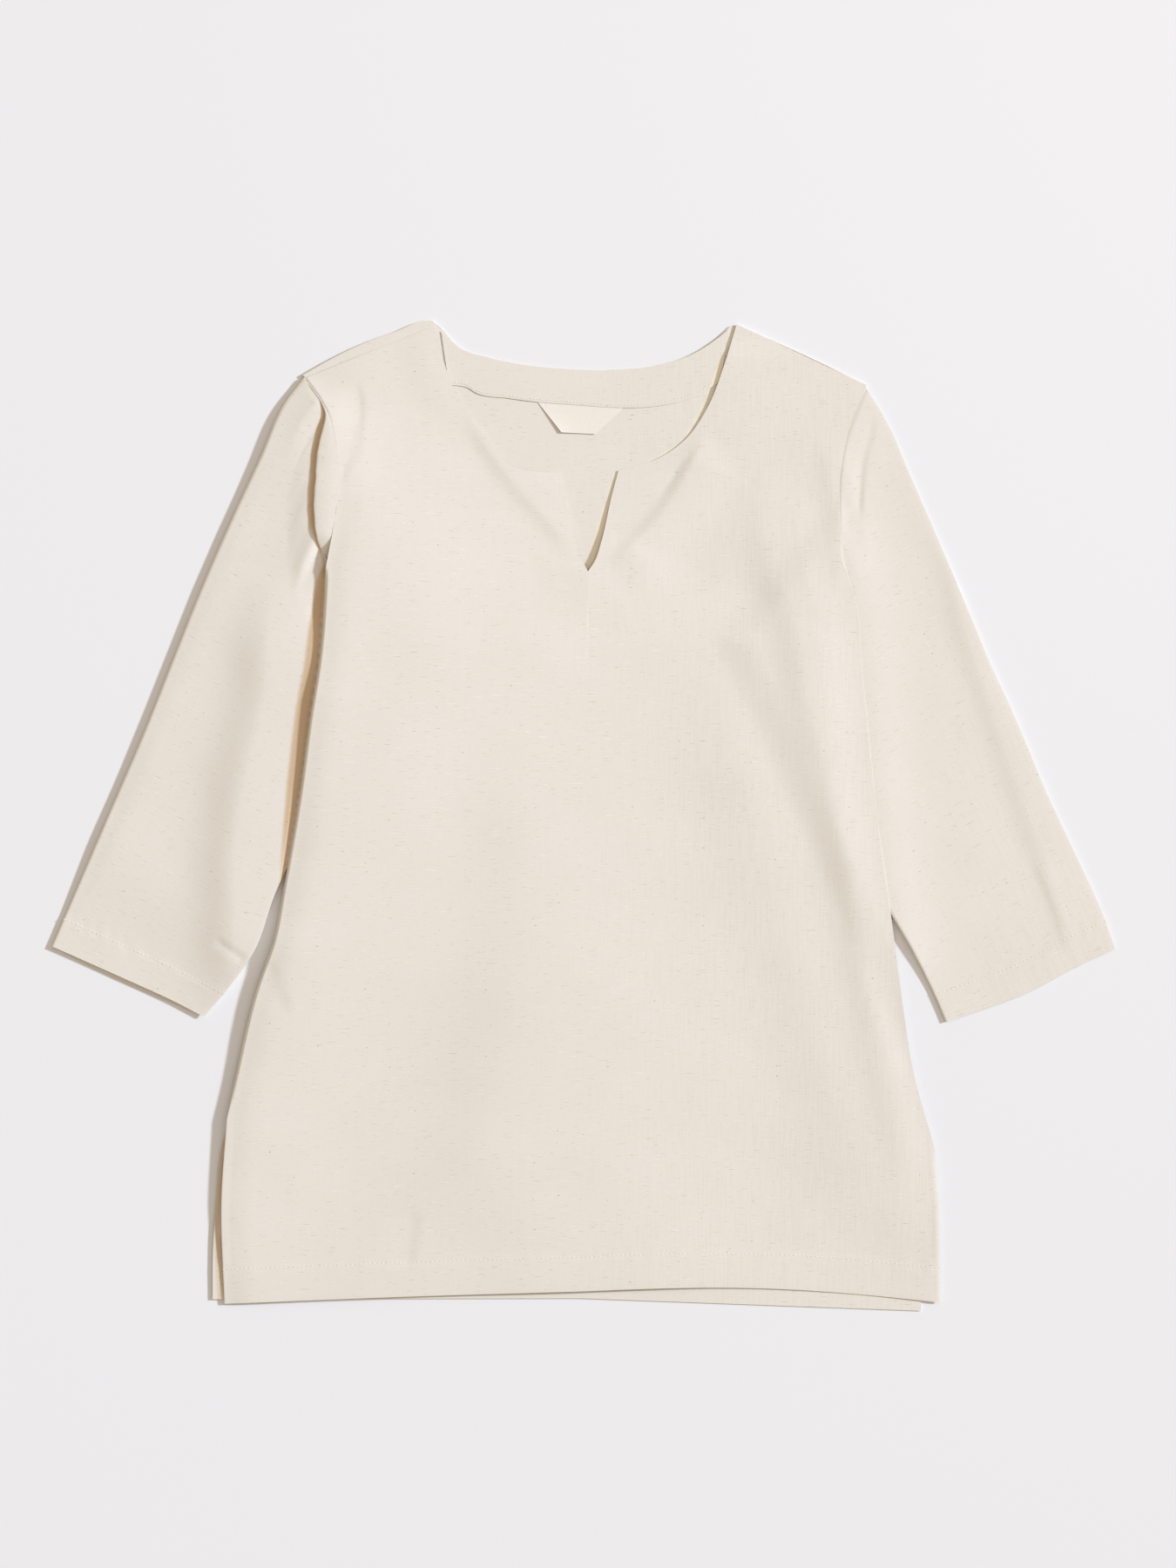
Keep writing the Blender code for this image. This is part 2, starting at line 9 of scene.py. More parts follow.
import bmesh
import bpy
import numpy as np
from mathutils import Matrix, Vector


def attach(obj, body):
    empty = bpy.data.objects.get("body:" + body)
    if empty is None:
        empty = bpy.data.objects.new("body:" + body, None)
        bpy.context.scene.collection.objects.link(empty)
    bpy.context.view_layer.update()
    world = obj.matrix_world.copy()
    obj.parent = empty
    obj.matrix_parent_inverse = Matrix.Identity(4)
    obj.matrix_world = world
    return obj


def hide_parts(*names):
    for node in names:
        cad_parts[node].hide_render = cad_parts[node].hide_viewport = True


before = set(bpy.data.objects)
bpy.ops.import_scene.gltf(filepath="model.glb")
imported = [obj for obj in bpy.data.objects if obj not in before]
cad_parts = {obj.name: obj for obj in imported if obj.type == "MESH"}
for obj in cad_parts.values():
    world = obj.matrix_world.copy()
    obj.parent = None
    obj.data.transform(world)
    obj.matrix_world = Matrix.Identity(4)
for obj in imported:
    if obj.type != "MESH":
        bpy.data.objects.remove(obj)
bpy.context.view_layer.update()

MM = 0.001
# The cloth is thinner than the solids' wall: its middle on the floor, and from one layer's
# middle to the next
CLOTH = 0.55
FLOOR_LEVEL = 0.3
LAYER = 0.8
SEAM_GAP = 0.05
MIDDLE_X = 0
MIDDLE_Y = 0.1
SHARP_ANGLE = math.radians(60)

# Outlines of the front, from the hem up: outer edges and inner edges of its halves
FRONT_OUTER = {
    "left": {
        "vent": ((-276.5, -375.4), (-278.7, -297.6), (-274.5, -234)),
        "side": ((-274.5, -234), (-250.4, -130.2), (-238.6, -96.6), (-230.9, -56.5), (-217.6, 20.6),
            (-210.4, 74.2), (-203.5, 117.8), (-198.8, 176.7), (-198.3, 189.4)),
        "low armhole": ((-198.3, 189.4), (-190.7, 231.7), (-187, 259.8)),
        "armhole": ((-187, 259.8), (-190.1, 285.2), (-196.1, 308), (-202.5, 320.1),
            (-214.2, 336.2)),
    },
    "right": {
        "vent": ((273.6, -374.4), (272.6, -297.6), (269.5, -257.4)),
        "side": ((269.5, -257.4), (251.5, -190.5), (244.8, -145.9), (235.4, -75.2), (227.3, -19.6),
            (218.6, 58.8), (213.6, 111.1), (209, 161.3), (197.9, 198.2)),
        "low armhole": ((197.9, 198.2), (196.3, 231), (196.3, 260.5)),
        "armhole": ((196.3, 260.5), (198.9, 279.2), (203.2, 297.3), (209.9, 314.1), (216.4, 329.3)),
    },
}
FRONT_MIDDLE = {"vent": ((-1.8, -365.7), (-1, -245)), "side": ((-1, -245), (2.9, 187.4))}
FRONT_INNER = {
    "left": {
        "low armhole": ((2.9, 187.4), (-2.7, 198.5), (-8.7, 218.9), (-19.9, 263.1)),
        "armhole": ((-19.9, 263.1), (-55.4, 268.5), (-79.5, 293.3), (-94.3, 314.7), (-104.3, 338.2),
            (-115.7, 376)),
    },
    "right": {
        "low armhole": ((2.9, 187.4), (8.2, 195.5), (13.3, 210.9), (21, 245), (26.3, 265.1)),
        "armhole": ((26.3, 265.1), (57.2, 274.5), (79.3, 290.6), (94.7, 313.4), (108.7, 349.6),
            (116.4, 375.8)),
    },
}
# Outlines of the back
BACK_VENT = {
    "left": ((-285.7, -372), (-285.2, -331.1), (-282.5, -294.3), (-278.7, -256.1), (-273.4, -234)),
    "right": ((258.8, -381), (262, -320), (268, -257.4)),
}
BACK_MIDDLE = {
    "vent": ((-1.8, -371.4), (-1, -245)),
    "side": ((-1, -245), (2.9, 187.4)),
    "low armhole": ((2.9, 187.4), (4.5, 262)),
    "high armhole": ((4.5, 262), (12.9, 342.2)),
}
BACK_NECK = {
    "left": ((12.9, 342.2), (-13.9, 343.2), (-48.7, 346.9), (-74.2, 352.3), (-93.6, 358.3),
        (-113.5, 379)),
    "right": ((12.9, 342.2), (53.1, 345.5), (80.6, 353.9), (101.4, 366.6), (116, 379.6)),
}
ARMHOLE_SPLIT = 0.55
BACK_RELIEF = 0.5
BACK_INSET = 1.1
BACK_SIDE_INSET = {"left": 2.1, "right": 5.5}
SHOULDER_TOP = {
    "left": ((-216.4, 338.6), (-197.1, 349.6), (-180, 358.3), (-164.6, 365), (-145.9, 371.7),
        (-121.7, 380.4), (-116.5, 380.6)),
    "right": ((217.2, 330.8), (180.8, 348.6), (117.1, 377.4)),
}
SHOULDER_TURN = {"left": math.pi, "right": math.pi / 2}
SHOULDER_LEVEL = 1.6
SHOULDER_DIP = 0.12
ROLL_STEPS = 10

# Outlines of the sleeves
SLEEVES = {
    "left": {
        "outer": ((-215.6, 336.8), (-230, 317.7), (-248.9, 275.2), (-270.2, 229), (-294.2, 174),
            (-316.7, 117.8), (-336.1, 68.8), (-366.3, -1.5), (-393.1, -63.8), (-409, -100.7)),
        "underarm": (-144.5, 127.8),
        "inner": ((-144.5, 127.8), (-190, 32), (-238.3, -63.8), (-252.4, -103.3), (-275.2, -135.5),
            (-291.9, -154.9)),
        "cuff": ((-409, -100.7), (-354.9, -124.8), (-314, -143.5), (-291.9, -154.9)),
    },
    "right": {
        "outer": ((218.7, 331), (232.7, 306.7), (252.8, 259.1), (272.9, 211.6), (294.3, 160.6),
            (312, 117.8), (328.6, 81.8), (361, 5.9), (377.9, -29.6), (400.2, -79.2),
            (408.6, -102.7)),
        "underarm": (140.2, 131.2),
        "inner": ((140.2, 131.2), (188, 26), (235.4, -75.2), (252.1, -104), (270.9, -141.5),
            (278.2, -158.9)),
        "cuff": ((408.6, -102.7), (382.8, -114.1), (339.2, -136.8), (295.7, -152.9),
            (278.2, -158.9)),
    },
}

# Heights of the laid body
SIDE_RISE = {
    "left": {
        "y": (-375, -360, -340, -300, -234, -190, -157, -117, -97, -64, -30, 24, 91, 120, 150, 190,
            230, 260, 300, 318, 336),
        "rise": (0.9, 1.2, 1.8, 2.5, 2.7, 3, 3.4, 4.4, 5.7, 5.8, 6.2, 7.7, 9.2, 8.3, 7.5, 6, 5.2,
            5.3, 4.6, 3, 0.8),
    },
    "right": {
        "y": (-374, -257, -150, -75, 0, 100, 198, 260, 300, 330),
        "rise": (0.5, 0.4, 0.3, 0.2, 0.1, 0.1, 0.2, 0.4, 0.4, 0.2),
    },
}
# The front falls evenly from its raised left edge, right across the body below the slit
LEVEL_REACH = {"y": (130, 235), "reach": (430, 190)}
SIDE_REACH = 55
LEFT_DROOP = 0.9
LEFT_DROOP_REACH = 12
LEFT_DROOP_END = (190, 300)
# Away from the edge its rise is evened out along the side
RISE_SPREAD = 70
RISE_SHARP_REACH = 32
RIGHT_EDGE_SHARE = 0.45
RIGHT_EDGE_REACH = 34
TUCK_RISE = {"left": 1.7, "right": 1.2}
TUCK_START = 8
TUCK_REACH = {"left": 150, "right": 38}
CURL_REACH = {"left": 2.2, "right": 0.5}
CURL_DEPTH = {"left": 1, "right": 0}
CURL_FADE = 60
CURL_END = 12
VENT_TOP_EASE = 6
HEM_CORNER_EASE = 3
VENT_RELIEF = 0.6
# Both flaps have one height where they meet at the slit's lower end
NECK_RISE = {
    "left": {"y": (188, 196, 210, 263, 300, 340, 377), "rise": (1.1, 0.5, 0.2, 0.1, 0.1, 0.1, 0.1)},
    "right": {
        "y": (188, 200, 225, 245, 263, 277, 290, 305, 330, 352, 366, 377),
        "rise": (1.1, 1.1, 0.9, 0.3, 0, 0.1, 0.2, 0.5, 1.1, 1.7, 0.6, 0.1),
    },
}
NECK_REACH = {"left": 42, "right": 88}
SLIT_FADE = (140, 187)
FACING_ROOM = 0.5
FACING_ROOM_START = (295, 318)
FACING_ROOM_REACH = (8, 40)

# Folds and creases: name, height (negative for a trough), width to the left and to the
# right, and path
FRONT_FOLDS = (
    ("right side fold", 1.6, 18, 60, ((140, 290), (146, 198), (165.7, 144.5), (173.7, 91),
        (191.8, 24), (207.2, -43), (219.3, -110), (236.7, -177), (252.8, -244), (262, -320))),
    ("middle fold", 1.4, 35, 58, ((95, 150), (113.4, 91), (132.2, 24), (150.3, -43), (167, -110),
        (187, -177), (212.6, -244), (240.7, -311), (252, -370))),
    ("left middle fold", 1, 40, 70, ((-32, 70), (-37, 35), (-46, -77), (-60, -177), (-82, -286),
        (-92, -340))),
    ("lower middle", 2, 130, 120, ((20, -60), (20, -160), (10, -300), (6, -430))),
    ("left neck fold", 0.75, 8, 34, ((-92, 312), (-73, 284), (-56, 261), (-39, 241), (-21, 221),
        (-2, 199))),
    ("right neck fold", 1.15, 7, 30, ((99, 295), (86, 277), (77, 257), (65, 238), (53, 222),
        (37, 206), (16, 188))),
    ("right neck groove", -0.3, 3, 3, ((88, 286), (74, 268), (66, 256), (57, 243))),
    ("right armhole fold", 1, 9, 30, ((188, 295), (193, 250), (196, 215), (199, 165))),
    ("left armhole crease", -0.45, 16, 4, ((-178.7, 336), (-173.3, 318.8), (-174.7, 296.6),
        (-180, 275.9), (-185.4, 264.5), (-187.7, 248))),
    ("left hem crease", -0.3, 16, 3, ((-130, -300), (-132, -322), (-136.5, -352))),
    ("left side pucker", -0.4, 14, 2.8, ((-243, -108), (-236, -130), (-227, -154))),
)
SLEEVE_FOLDS = {
    "left": (
        ("sleeve step", 3.3, 24, 90, ((-232, 192), (-241, 145), (-244, 91), (-260, 24), (-268, -43),
            (-267, -97), (-270, -170))),
        ("cap slope", 0.6, 26, 60, ((-196, 380), (-205, 320), (-210, 240), (-222, 160),
            (-236, 90))),
        ("outer edge", -0.5, 6, 9, ((-231.6, 317.7), (-295.6, 174), (-366.3, -1.5),
            (-409, -100.7))),
        ("inner edge dimple", -0.5, 4, 2.3, ((-284, -95), (-272, -103), (-258, -112))),
    ),
    "right": (
        ("sleeve ridge", 0.6, 10, 22, ((250, 235), (279, 198), (294, 144), (312, 91), (334, 24),
            (358, -43), (382, -110), (388, -130))),
        ("outer edge", 0.3, 20, 30, ((232.7, 306.7), (272.9, 211.6), (311.1, 117.8), (377.4, -29.6),
            (412, -118))),
        ("armhole crease", -0.9, 10, 2.4, ((222.4, 316), (219.7, 292.6), (215.1, 277.2),
            (212.6, 260.5), (211.7, 245), (210.7, 224))),
        ("cuff crease", 0.22, 3.4, 8, ((347, -30), (358, -58), (366, -80), (373, -108))),
    ),
}
PATH_POINTS = 32
FOLD_FADE = 0.22

# Heights of the sleeves
SLEEVE_LOW = 0.9
SLEEVE_RISE = {"left": 2.5, "right": 0.3}
# The right sleeve rises to just under the body's edge, the left one dips under it
BESIDE_BODY = 0.2
BESIDE_REACH = 26
SLEEVE_EASE = {"left": (-8, 5), "right": (-9, -2.7)}
CUFF_LEVEL = {"left": 1.9, "right": 1.2}
CUFF_LEVEL_REACH = 0.22
SEAM_BLEND = 0.13
SEAM_DIP = {"left": (0, 28), "right": (-14, 3)}
SEAM_SLIP = {"left": (0, 28), "right": (3, 40)}
SEAM_STEP = {"left": 0, "right": 0.34}
SEAM_TUCK = 4
SLEEVE_EDGE = 0.6
# The fold that faces the light curls under: by how much, and at which end of a row
CURL_UNDER = {"left": (5.5, -1), "right": (4.5, 0)}
CURL_UNDER_POWER = 8
# The left sleeve's cap is folded over itself beside its seam: how wide that fold is, and
# how high its edge stands over the sleeve below
CAP_FOLD = {
    "y": (191.4, 198.1, 210.2, 221.6, 237, 251.8, 265.2, 278.6, 288.6, 296.6, 305.4, 310, 318.1),
    "width": (0.3, 2.7, 9.4, 13.7, 17.1, 18.6, 18.2, 15.4, 11.6, 7.6, 3, 1.4, 0.3),
    "height": (0.2, 1, 1.6, 1.9, 2.1, 2.1, 2.1, 2.2, 2.3, 2.3, 2.1, 1.5, 0.4),
}
CAP_FOOT = 3.7
CAP_FOOT_START = (176, 196)
CAP_FOOT_END = (290, 330)
CAP_BULGE = 0.015
CAP_ROWS = 9
CAP_TURNS = 6
CAP_DROP = 0.9
# How far the cuff's lower layer shows past the upper one
LOWER_CUFF = {"left": 2.6, "right": 0.6}
LOWER_CUFF_REACH = 60
LOWER_CUFF_POWER = 0.6

# Painted shade: a brown tint multiplied into the cloth in the gap beside the body's raised left
# edge; painted light: a warm glow mixed into the shadow under the right flap
PAINTED_GAP_SHADE = "painted_gap_shade"
PAINTED_GAP_SHADE_COLOUR = (0.78, 0.62, 0.45, 1)
GAP_EDGE = (2, 1.5)
NECK_GAP_EDGE = (1, 0.6)
GAP_SHARE = {"y": (-234, 20), "share": (0.75, 1)}
PAINTED_NECK_LIGHT = "painted_neck_light"
PAINTED_NECK_LIGHT_COLOUR = (0.93, 0.84, 0.66, 1)
NECK_GAP_WIDTH = {
    "y": (188, 213, 230, 246, 263, 285, 305, 325, 345, 370),
    "width": (5.2, 5.4, 4.4, 3, 1.2, 1.2, 2.6, 4, 4.6, 1.5),
}
GAP_WIDTH = {
    "y": (-376, -300, -234, -110, -78, -46, -16, 24, 84, 144, 180, 194, 210, 224, 300, 320),
    "width": (5, 7, 8, 8, 5, 4.5, 7.5, 11, 12, 10, 7, 2, 2, 5, 5, 0.5),
}

# Sewing
HEM_DEPTH = 28
CUFF_DEPTH = 24.5
VENT_TURN = 8
TURN_RELIEF = 0.2
TURN_STEP = 1.6
STITCH_IN = 1.6
STITCH_DIP = 0.18
STITCH_DIP_REACH = 1.1
PUCKER = 0.07
PUCKER_LENGTH = 17
PUCKER_REACH = 6
EDGE_ROUND = 0.12
EDGE_ROUND_REACH = 0.9
# Only the side of each armhole seam that faces away from the light is rounded
FRONT_SEAM_ROUND = {"left": 0.25, "right": 0}
SLEEVE_SEAM_ROUND = {"left": 0, "right": 0.4}
SEAM_ROUND_START = {"left": (296, 314), "right": (198, 218)}
SEAM_ROUND_REACH = 1.3
SEAM_STEADY = 22
STITCH_PITCH = 3.4
STITCH_LENGTH = 2.4
STITCH_WIDTH = 0.55
FACING_PITCH = 2.6
# Rows of a grid that are sure to reach past its hem
HEM_ROWS = 60

FACING_LOWER = ((-104, 331), (-89.6, 328.8), (-83.1, 324.8), (-58.1, 320.7), (-38.7, 318.1),
    (-4, 315.4), (31, 313.4), (50.5, 314), (86.6, 322.7), (105, 334))
FACING_UPPER = ((-110, 372), (-93.6, 357.6), (-74.2, 351.6), (-48.7, 346.2), (-13.9, 342.5),
    (12.9, 341.5), (53.1, 344.8), (80.6, 353.2), (101.4, 365.9), (111, 373.5))
FACING_CLOTH = 0.3
FACING_LEVEL = 1.02
LABEL_CORNERS = {"top": ((-37, 319.4), (31.6, 315.4)), "bottom": ((-17.5, 294.4), (8.6, 293.1))}
LABEL_CLOTH = 0.22
LABEL_LEVEL = 0.71
LABEL_CURL = 0.55

# Rows of each stretch of a panel, and columns of a half panel
FRONT_ROWS = {"vent": 50, "side": 126, "low armhole": 30, "armhole": 42}
BACK_ROWS = {"vent": 36, "side": 70, "low armhole": 14, "high armhole": 20, "shoulder": 22}
FRONT_COLUMNS = 72
BACK_COLUMNS = 44
FACING_COLUMNS = 160
LABEL_ROWS = 24
LABEL_COLUMNS = 40
ROLL_ANGLES = np.linspace(0, math.pi / 2, 9)
EDGE_PLACES = (20, 15, 11, 8, 6, 4.2, 3)
BACK_EDGE_COLUMNS = np.array((12, 6, 2.5, 1, 0))
SLEEVE_STATIONS = 176
SLEEVE_COLUMNS = 94
EDGE_TURNS = 5
HEM_BOW = {"left": 0.6, "right": 6.5}
HEM_BOW_REACH = 110

RIPPLE_SEED = 7
RIPPLES = 26
RIPPLE_HEIGHT = 0.03
RIPPLE_LENGTHS = (34, 150)
RIPPLE_LOWEST = -0.15


def ease(start, end, value):
    """Smooth step from 0 at start to 1 at end."""
    share = np.clip((value - start) / (end - start), 0, 1)
    return share * share * (3 - 2 * share)


def fade(start, end, value):
    """Smooth step from 1 at start to 0 at end."""
    return 1 - ease(start, end, value)


def curve(points, shares):
    """Points at shares of the length of a smooth curve through the given points."""
    points = np.array(points, float)
    knots = np.concatenate([[0], np.cumsum(np.linalg.norm(np.diff(points, axis=0), axis=1))])
    slopes = np.gradient(points, knots, axis=0)
    along = np.clip(np.asarray(shares, float), 0, 1) * knots[-1]
    index = np.clip(np.searchsorted(knots, along, side="right") - 1, 0, len(knots) - 2)
    step = knots[index + 1] - knots[index]
    part = ((along - knots[index]) / step)[:, None]
    step = step[:, None]
    return ((2 * part**3 - 3 * part**2 + 1) * points[index]
            + (part**3 - 2 * part**2 + part) * step * slopes[index]
            + (3 * part**2 - 2 * part**3) * points[index + 1]
            + (part**3 - part**2) * step * slopes[index + 1])


def unit(vectors):
    return vectors / np.linalg.norm(vectors, axis=-1, keepdims=True)


def raised(plan, height):
    """Points of a plan with their heights."""
    return np.concatenate([plan, height[..., None]], axis=-1)


def path_distance(x, y, line):
    """Distance to a line of points, how far along it, and which side (+1 to its right in x)."""
    best = np.full(x.shape, np.inf)
    place = np.zeros_like(x)
    aside = np.zeros_like(x)
    for index, (start, end) in enumerate(zip(line, line[1:])):
        step = end - start
        share = ((x - start[0]) * step[0] + (y - start[1]) * step[1]) / (step @ step)
        share = np.clip(share, 0, 1)
        near_x = start[0] + share * step[0]
        near_y = start[1] + share * step[1]
        far = np.hypot(x - near_x, y - near_y)
        closer = far < best
        best = np.where(closer, far, best)
        place = np.where(closer, (index + share) / (len(line) - 1), place)
        aside = np.where(closer, np.sign(x - near_x), aside)
    return best, place, aside


def fold_height(x, y, folds):
    """Height of the soft ridges and troughs at a place; each fades out at its ends."""
    total = np.zeros_like(x)
    for _, height, left, right, path in folds:
        line = curve(path, np.linspace(0, 1, PATH_POINTS))
        distance, place, aside = path_distance(x, y, line)
        width = np.where(aside < 0, left, right)
        ends = ease(0, FOLD_FADE, place) * ease(0, FOLD_FADE, 1 - place)
        total += height * np.exp(-(distance / width) ** 2) * ends
    return total


def ripples(x, y, seed, lowest=RIPPLE_LOWEST):
    """Faint unevenness of cloth that was washed and laid out."""
    draw = np.random.default_rng(seed)
    total = np.zeros_like(x)
    for _ in range(RIPPLES):
        length = draw.uniform(*RIPPLE_LENGTHS)
        heading = draw.uniform(0, math.pi)
        phase = draw.uniform(0, 2 * math.pi)
        wave = (x * math.cos(heading) + y * math.sin(heading)) * 2 * math.pi / length
        total += RIPPLE_HEIGHT * length / RIPPLE_LENGTHS[1] * np.sin(wave + phase)
    return np.maximum(total, lowest)


SIDES = ("left", "right")
# Each cloth: its weft's direction (y, x), the strength of its warp streaks, and the x from
# which they grow
CLOTHS = (
    ("body", (0, 1), 0.34, -0.05),
    ("left_sleeve", (-54.2, 117.1), 0.3, 1),
    ("right_sleeve", (56.2, 130.4), 0.3, 0.2),
)


def side_sign(side):
    return -1 if side == "left" else 1


def tuck_share(x, y, side):
    """How fully a sleeve lies under the body at a place, from 0 to 1."""
    split = np.array(FRONT_OUTER[side]["low armhole"][0])
    under = np.array(SLEEVES[side]["underarm"])
    leave = np.array(SLEEVES[side]["inner"][2])
    sign = side_sign(side)
    upper = unit(under - split)
    lower = unit(leave - under)
    over_upper = -sign * ((x - split[0]) * -upper[1] + (y - split[1]) * upper[0])
    over_lower = -sign * ((x - under[0]) * -lower[1] + (y - under[1]) * lower[0])
    outside = np.maximum(over_upper, over_lower)
    return fade(TUCK_START, TUCK_REACH[side], outside)


def back_height(x, y, side):
    return FLOOR_LEVEL + tuck_share(x, y, side) * TUCK_RISE[side]


def even_fall(distance, reach):
    """From 1 at the edge down to 0 at its reach, at an even slope with a soft foot."""
    left = np.clip(1 - distance / reach, 0, 1)
    return 1.15 * left**2 / (left + 0.15)


def table_at(table, key, y):
    return np.interp(y, table["y"], table[key])


def left_rise(y, from_left):
    """Rise of the left edge: as it is close by, evened out along the side farther in."""
    shifts = np.linspace(-RISE_SPREAD, RISE_SPREAD, 15)
    even = np.mean([table_at(SIDE_RISE["left"], "rise", y + shift) for shift in shifts], axis=0)
    close = np.exp(-(from_left / RISE_SHARP_REACH) ** 2)
    return even + (table_at(SIDE_RISE["left"], "rise", y) - even) * close


def front_height(x, y, side, from_edge, from_inner):
    from_left = np.maximum(x - body_edge_x("left", y), 0)
    edge = left_rise(y, from_left) * even_fall(from_left, table_at(LEVEL_REACH, "reach", y))
    folds = fold_height(x, y, FRONT_FOLDS)
    if side == "left":
        droop = LEFT_DROOP * fade(*LEFT_DROOP_END, y)
        edge -= droop * np.exp(-(from_edge / LEFT_DROOP_REACH) ** 2)
    else:
        rise = table_at(SIDE_RISE["right"], "rise", y)
        edge += rise * fade(0, SIDE_REACH, from_edge)
        inside = ease(0, RIGHT_EDGE_REACH, from_edge)
        folds = folds * (RIGHT_EDGE_SHARE + (1 - RIGHT_EDGE_SHARE) * inside)
    neck = table_at(NECK_RISE[side], "rise", y) * ease(*SLIT_FADE, y)
    neck = neck * even_fall(from_inner, NECK_REACH[side])
    room = FACING_ROOM * ease(*FACING_ROOM_START, y)
    room = room * fade(*FACING_ROOM_REACH, from_inner)
    level = back_height(x, y, side) + LAYER
    return level + edge + np.maximum(neck, room) + folds


def turn_up(distance, depth, along):
    """Relief of a turned and stitched edge: a double layer, its stitch line and puckers."""
    stitch = depth - STITCH_IN
    double = TURN_RELIEF * fade(depth - TURN_STEP / 2, depth + TURN_STEP / 2, distance)
    dip = STITCH_DIP * np.exp(-((distance - stitch) / STITCH_DIP_REACH) ** 2)
    # Slow waves of unlike lengths keep any two puckers from being alike
    wave = along / PUCKER_LENGTH + 0.6 * np.sin(along / 23) + 0.9 * np.sin(along / 61)
    uneven = 0.4 + 0.35 * np.sin(along / 37 + 1) + 0.25 * np.sin(along / 13)
    reach = PUCKER_REACH * (1 + 0.4 * np.sin(along / 17))
    pucker = PUCKER * uneven * np.sin(2 * math.pi * wave)
    pucker = pucker * np.exp(-((distance - stitch) / reach) ** 2)
    return double - dip + pucker


def half_plan(side, outer, inner, rows, count, edges, bow):
    """Plan of a half panel, row by row, with each point's distance from both edges."""
    outer_points = []
    inner_points = []
    for name, number in rows.items():
        first = 1 if outer_points else 0
        shares = np.linspace(0, 1, number + 1)[first:]
        outer_points.append(curve(outer[name], shares))
        inner_points.append(curve(inner[name], shares))
    outer_points = np.concatenate(outer_points)
    inner_points = np.concatenate(inner_points)
    plan = []
    for start, end in zip(inner_points, outer_points):
        length = np.linalg.norm(end - start)
        even = np.linspace(length, edges[0], count, endpoint=False)
        places = np.concatenate([even, edges])
        share = 1 - places / length
        row = start + (end - start) * share[:, None]
        over_hem = start[1] - inner_points[0][1]
        row[:, 1] += bow * np.sin(math.pi * share) * fade(0, HEM_BOW_REACH, over_hem)
        plan.append(np.column_stack([row, places, length - places]))
    return np.array(plan)


def front_half(side):
    outer = FRONT_OUTER[side]
    inner = {**FRONT_MIDDLE, **FRONT_INNER[side]}
    if side == "right":
        outer = {**outer, "armhole": outer["armhole"][:-1] + (SHOULDER_TOP[side][0],)}
        inner["armhole"] = inner["armhole"][:-1] + (SHOULDER_TOP[side][-1],)
    curl = CURL_REACH[side]
    edges = np.concatenate([EDGE_PLACES, curl * (1 - np.sin(ROLL_ANGLES))])
    plan = half_plan(side, outer, inner, FRONT_ROWS, FRONT_COLUMNS, edges, HEM_BOW[side])
    x, y, from_edge, from_inner = np.moveaxis(plan, 2, 0)
    height = front_height(x, y, side, from_edge, from_inner)
    height += ripples(x, y, RIPPLE_SEED)
    vent_top = outer["vent"][-1][1]
    seam_end = outer["low armhole"][0][1]
    outer_y = y[:, -1:]
    from_hem = y - y[:1]
    hem_edge = fade(0, EDGE_ROUND_REACH, from_hem)
    height += turn_up(from_hem, HEM_DEPTH, x) - EDGE_ROUND * hem_edge
    in_vent = fade(vent_top - VENT_TOP_EASE, vent_top + VENT_TOP_EASE, y)
    off_hem = ease(HEM_DEPTH - HEM_CORNER_EASE, HEM_DEPTH + HEM_CORNER_EASE, from_hem)
    height += turn_up(from_edge, VENT_TURN, y) * in_vent * off_hem * VENT_RELIEF
    free_edge = fade(0, EDGE_ROUND_REACH, from_edge)
    height -= EDGE_ROUND * free_edge * in_vent
    at_armhole = ease(*SEAM_ROUND_START[side], y)
    seam_round = FRONT_SEAM_ROUND[side] * at_armhole
    height -= seam_round * fade(0, SEAM_ROUND_REACH, from_edge)
    if side == "left":
        start = np.array(inner["armhole"][-1])
        step = unit(np.array(outer["armhole"][-1]) - start)
        shoulder = np.abs((x - start[0]) * step[1] - (y - start[1]) * step[0])
        height -= SHOULDER_DIP * fade(0, SEAM_ROUND_REACH, shoulder)
    low = back_height(x, y, side)
    curled = ease(vent_top, vent_top + CURL_FADE, outer_y)
    curled = curled * fade(seam_end - CURL_END, seam_end, outer_y)
    round_share = np.clip(1 - from_edge / curl, 0, 1)
    drop = (height - low) * (1 - np.sqrt(np.maximum(0, 1 - round_share**2)))
    return np.stack([x, y, height - drop * curled * CURL_DEPTH[side]], axis=-1)


def shoulder_roll(side, count):
    """Rows that carry the back up and over the shoulder to its seam with the front."""
    outline = curve(SHOULDER_TOP[side], np.linspace(1, 0, count))
    neck_point = FRONT_INNER[side]["armhole"][-1]
    shoulder_point = FRONT_OUTER[side]["armhole"][-1]
    seam = np.linspace(neck_point, shoulder_point, count)
    direction = unit(outline - seam)
    lift = (SHOULDER_LEVEL - FLOOR_LEVEL) / 2
    rows = []
    for step in range(ROLL_STEPS + 1):
        turn = SHOULDER_TURN[side] * step / ROLL_STEPS - math.pi / 2
        plan = outline - direction * lift * (1 - math.cos(turn))
        height = np.full(count, FLOOR_LEVEL + lift * (1 + math.sin(turn)))
        rows.append(np.column_stack([plan, height]))
    if SHOULDER_TURN[side] == math.pi:
        last = rows[-1]
        seam_row = seam + direction * SEAM_GAP
        for share in (0.35, 0.7, 0.88, 0.96, 1):
            plan = last[:, :2] + (seam_row - last[:, :2]) * share
            dip = SHOULDER_DIP * ease(0.7, 1, share)
            rows.append(np.column_stack([plan, last[:, 2] - dip]))
    return rows


def inset(points, side, amount):
    return np.array(points, float) - (side_sign(side) * amount, 0)


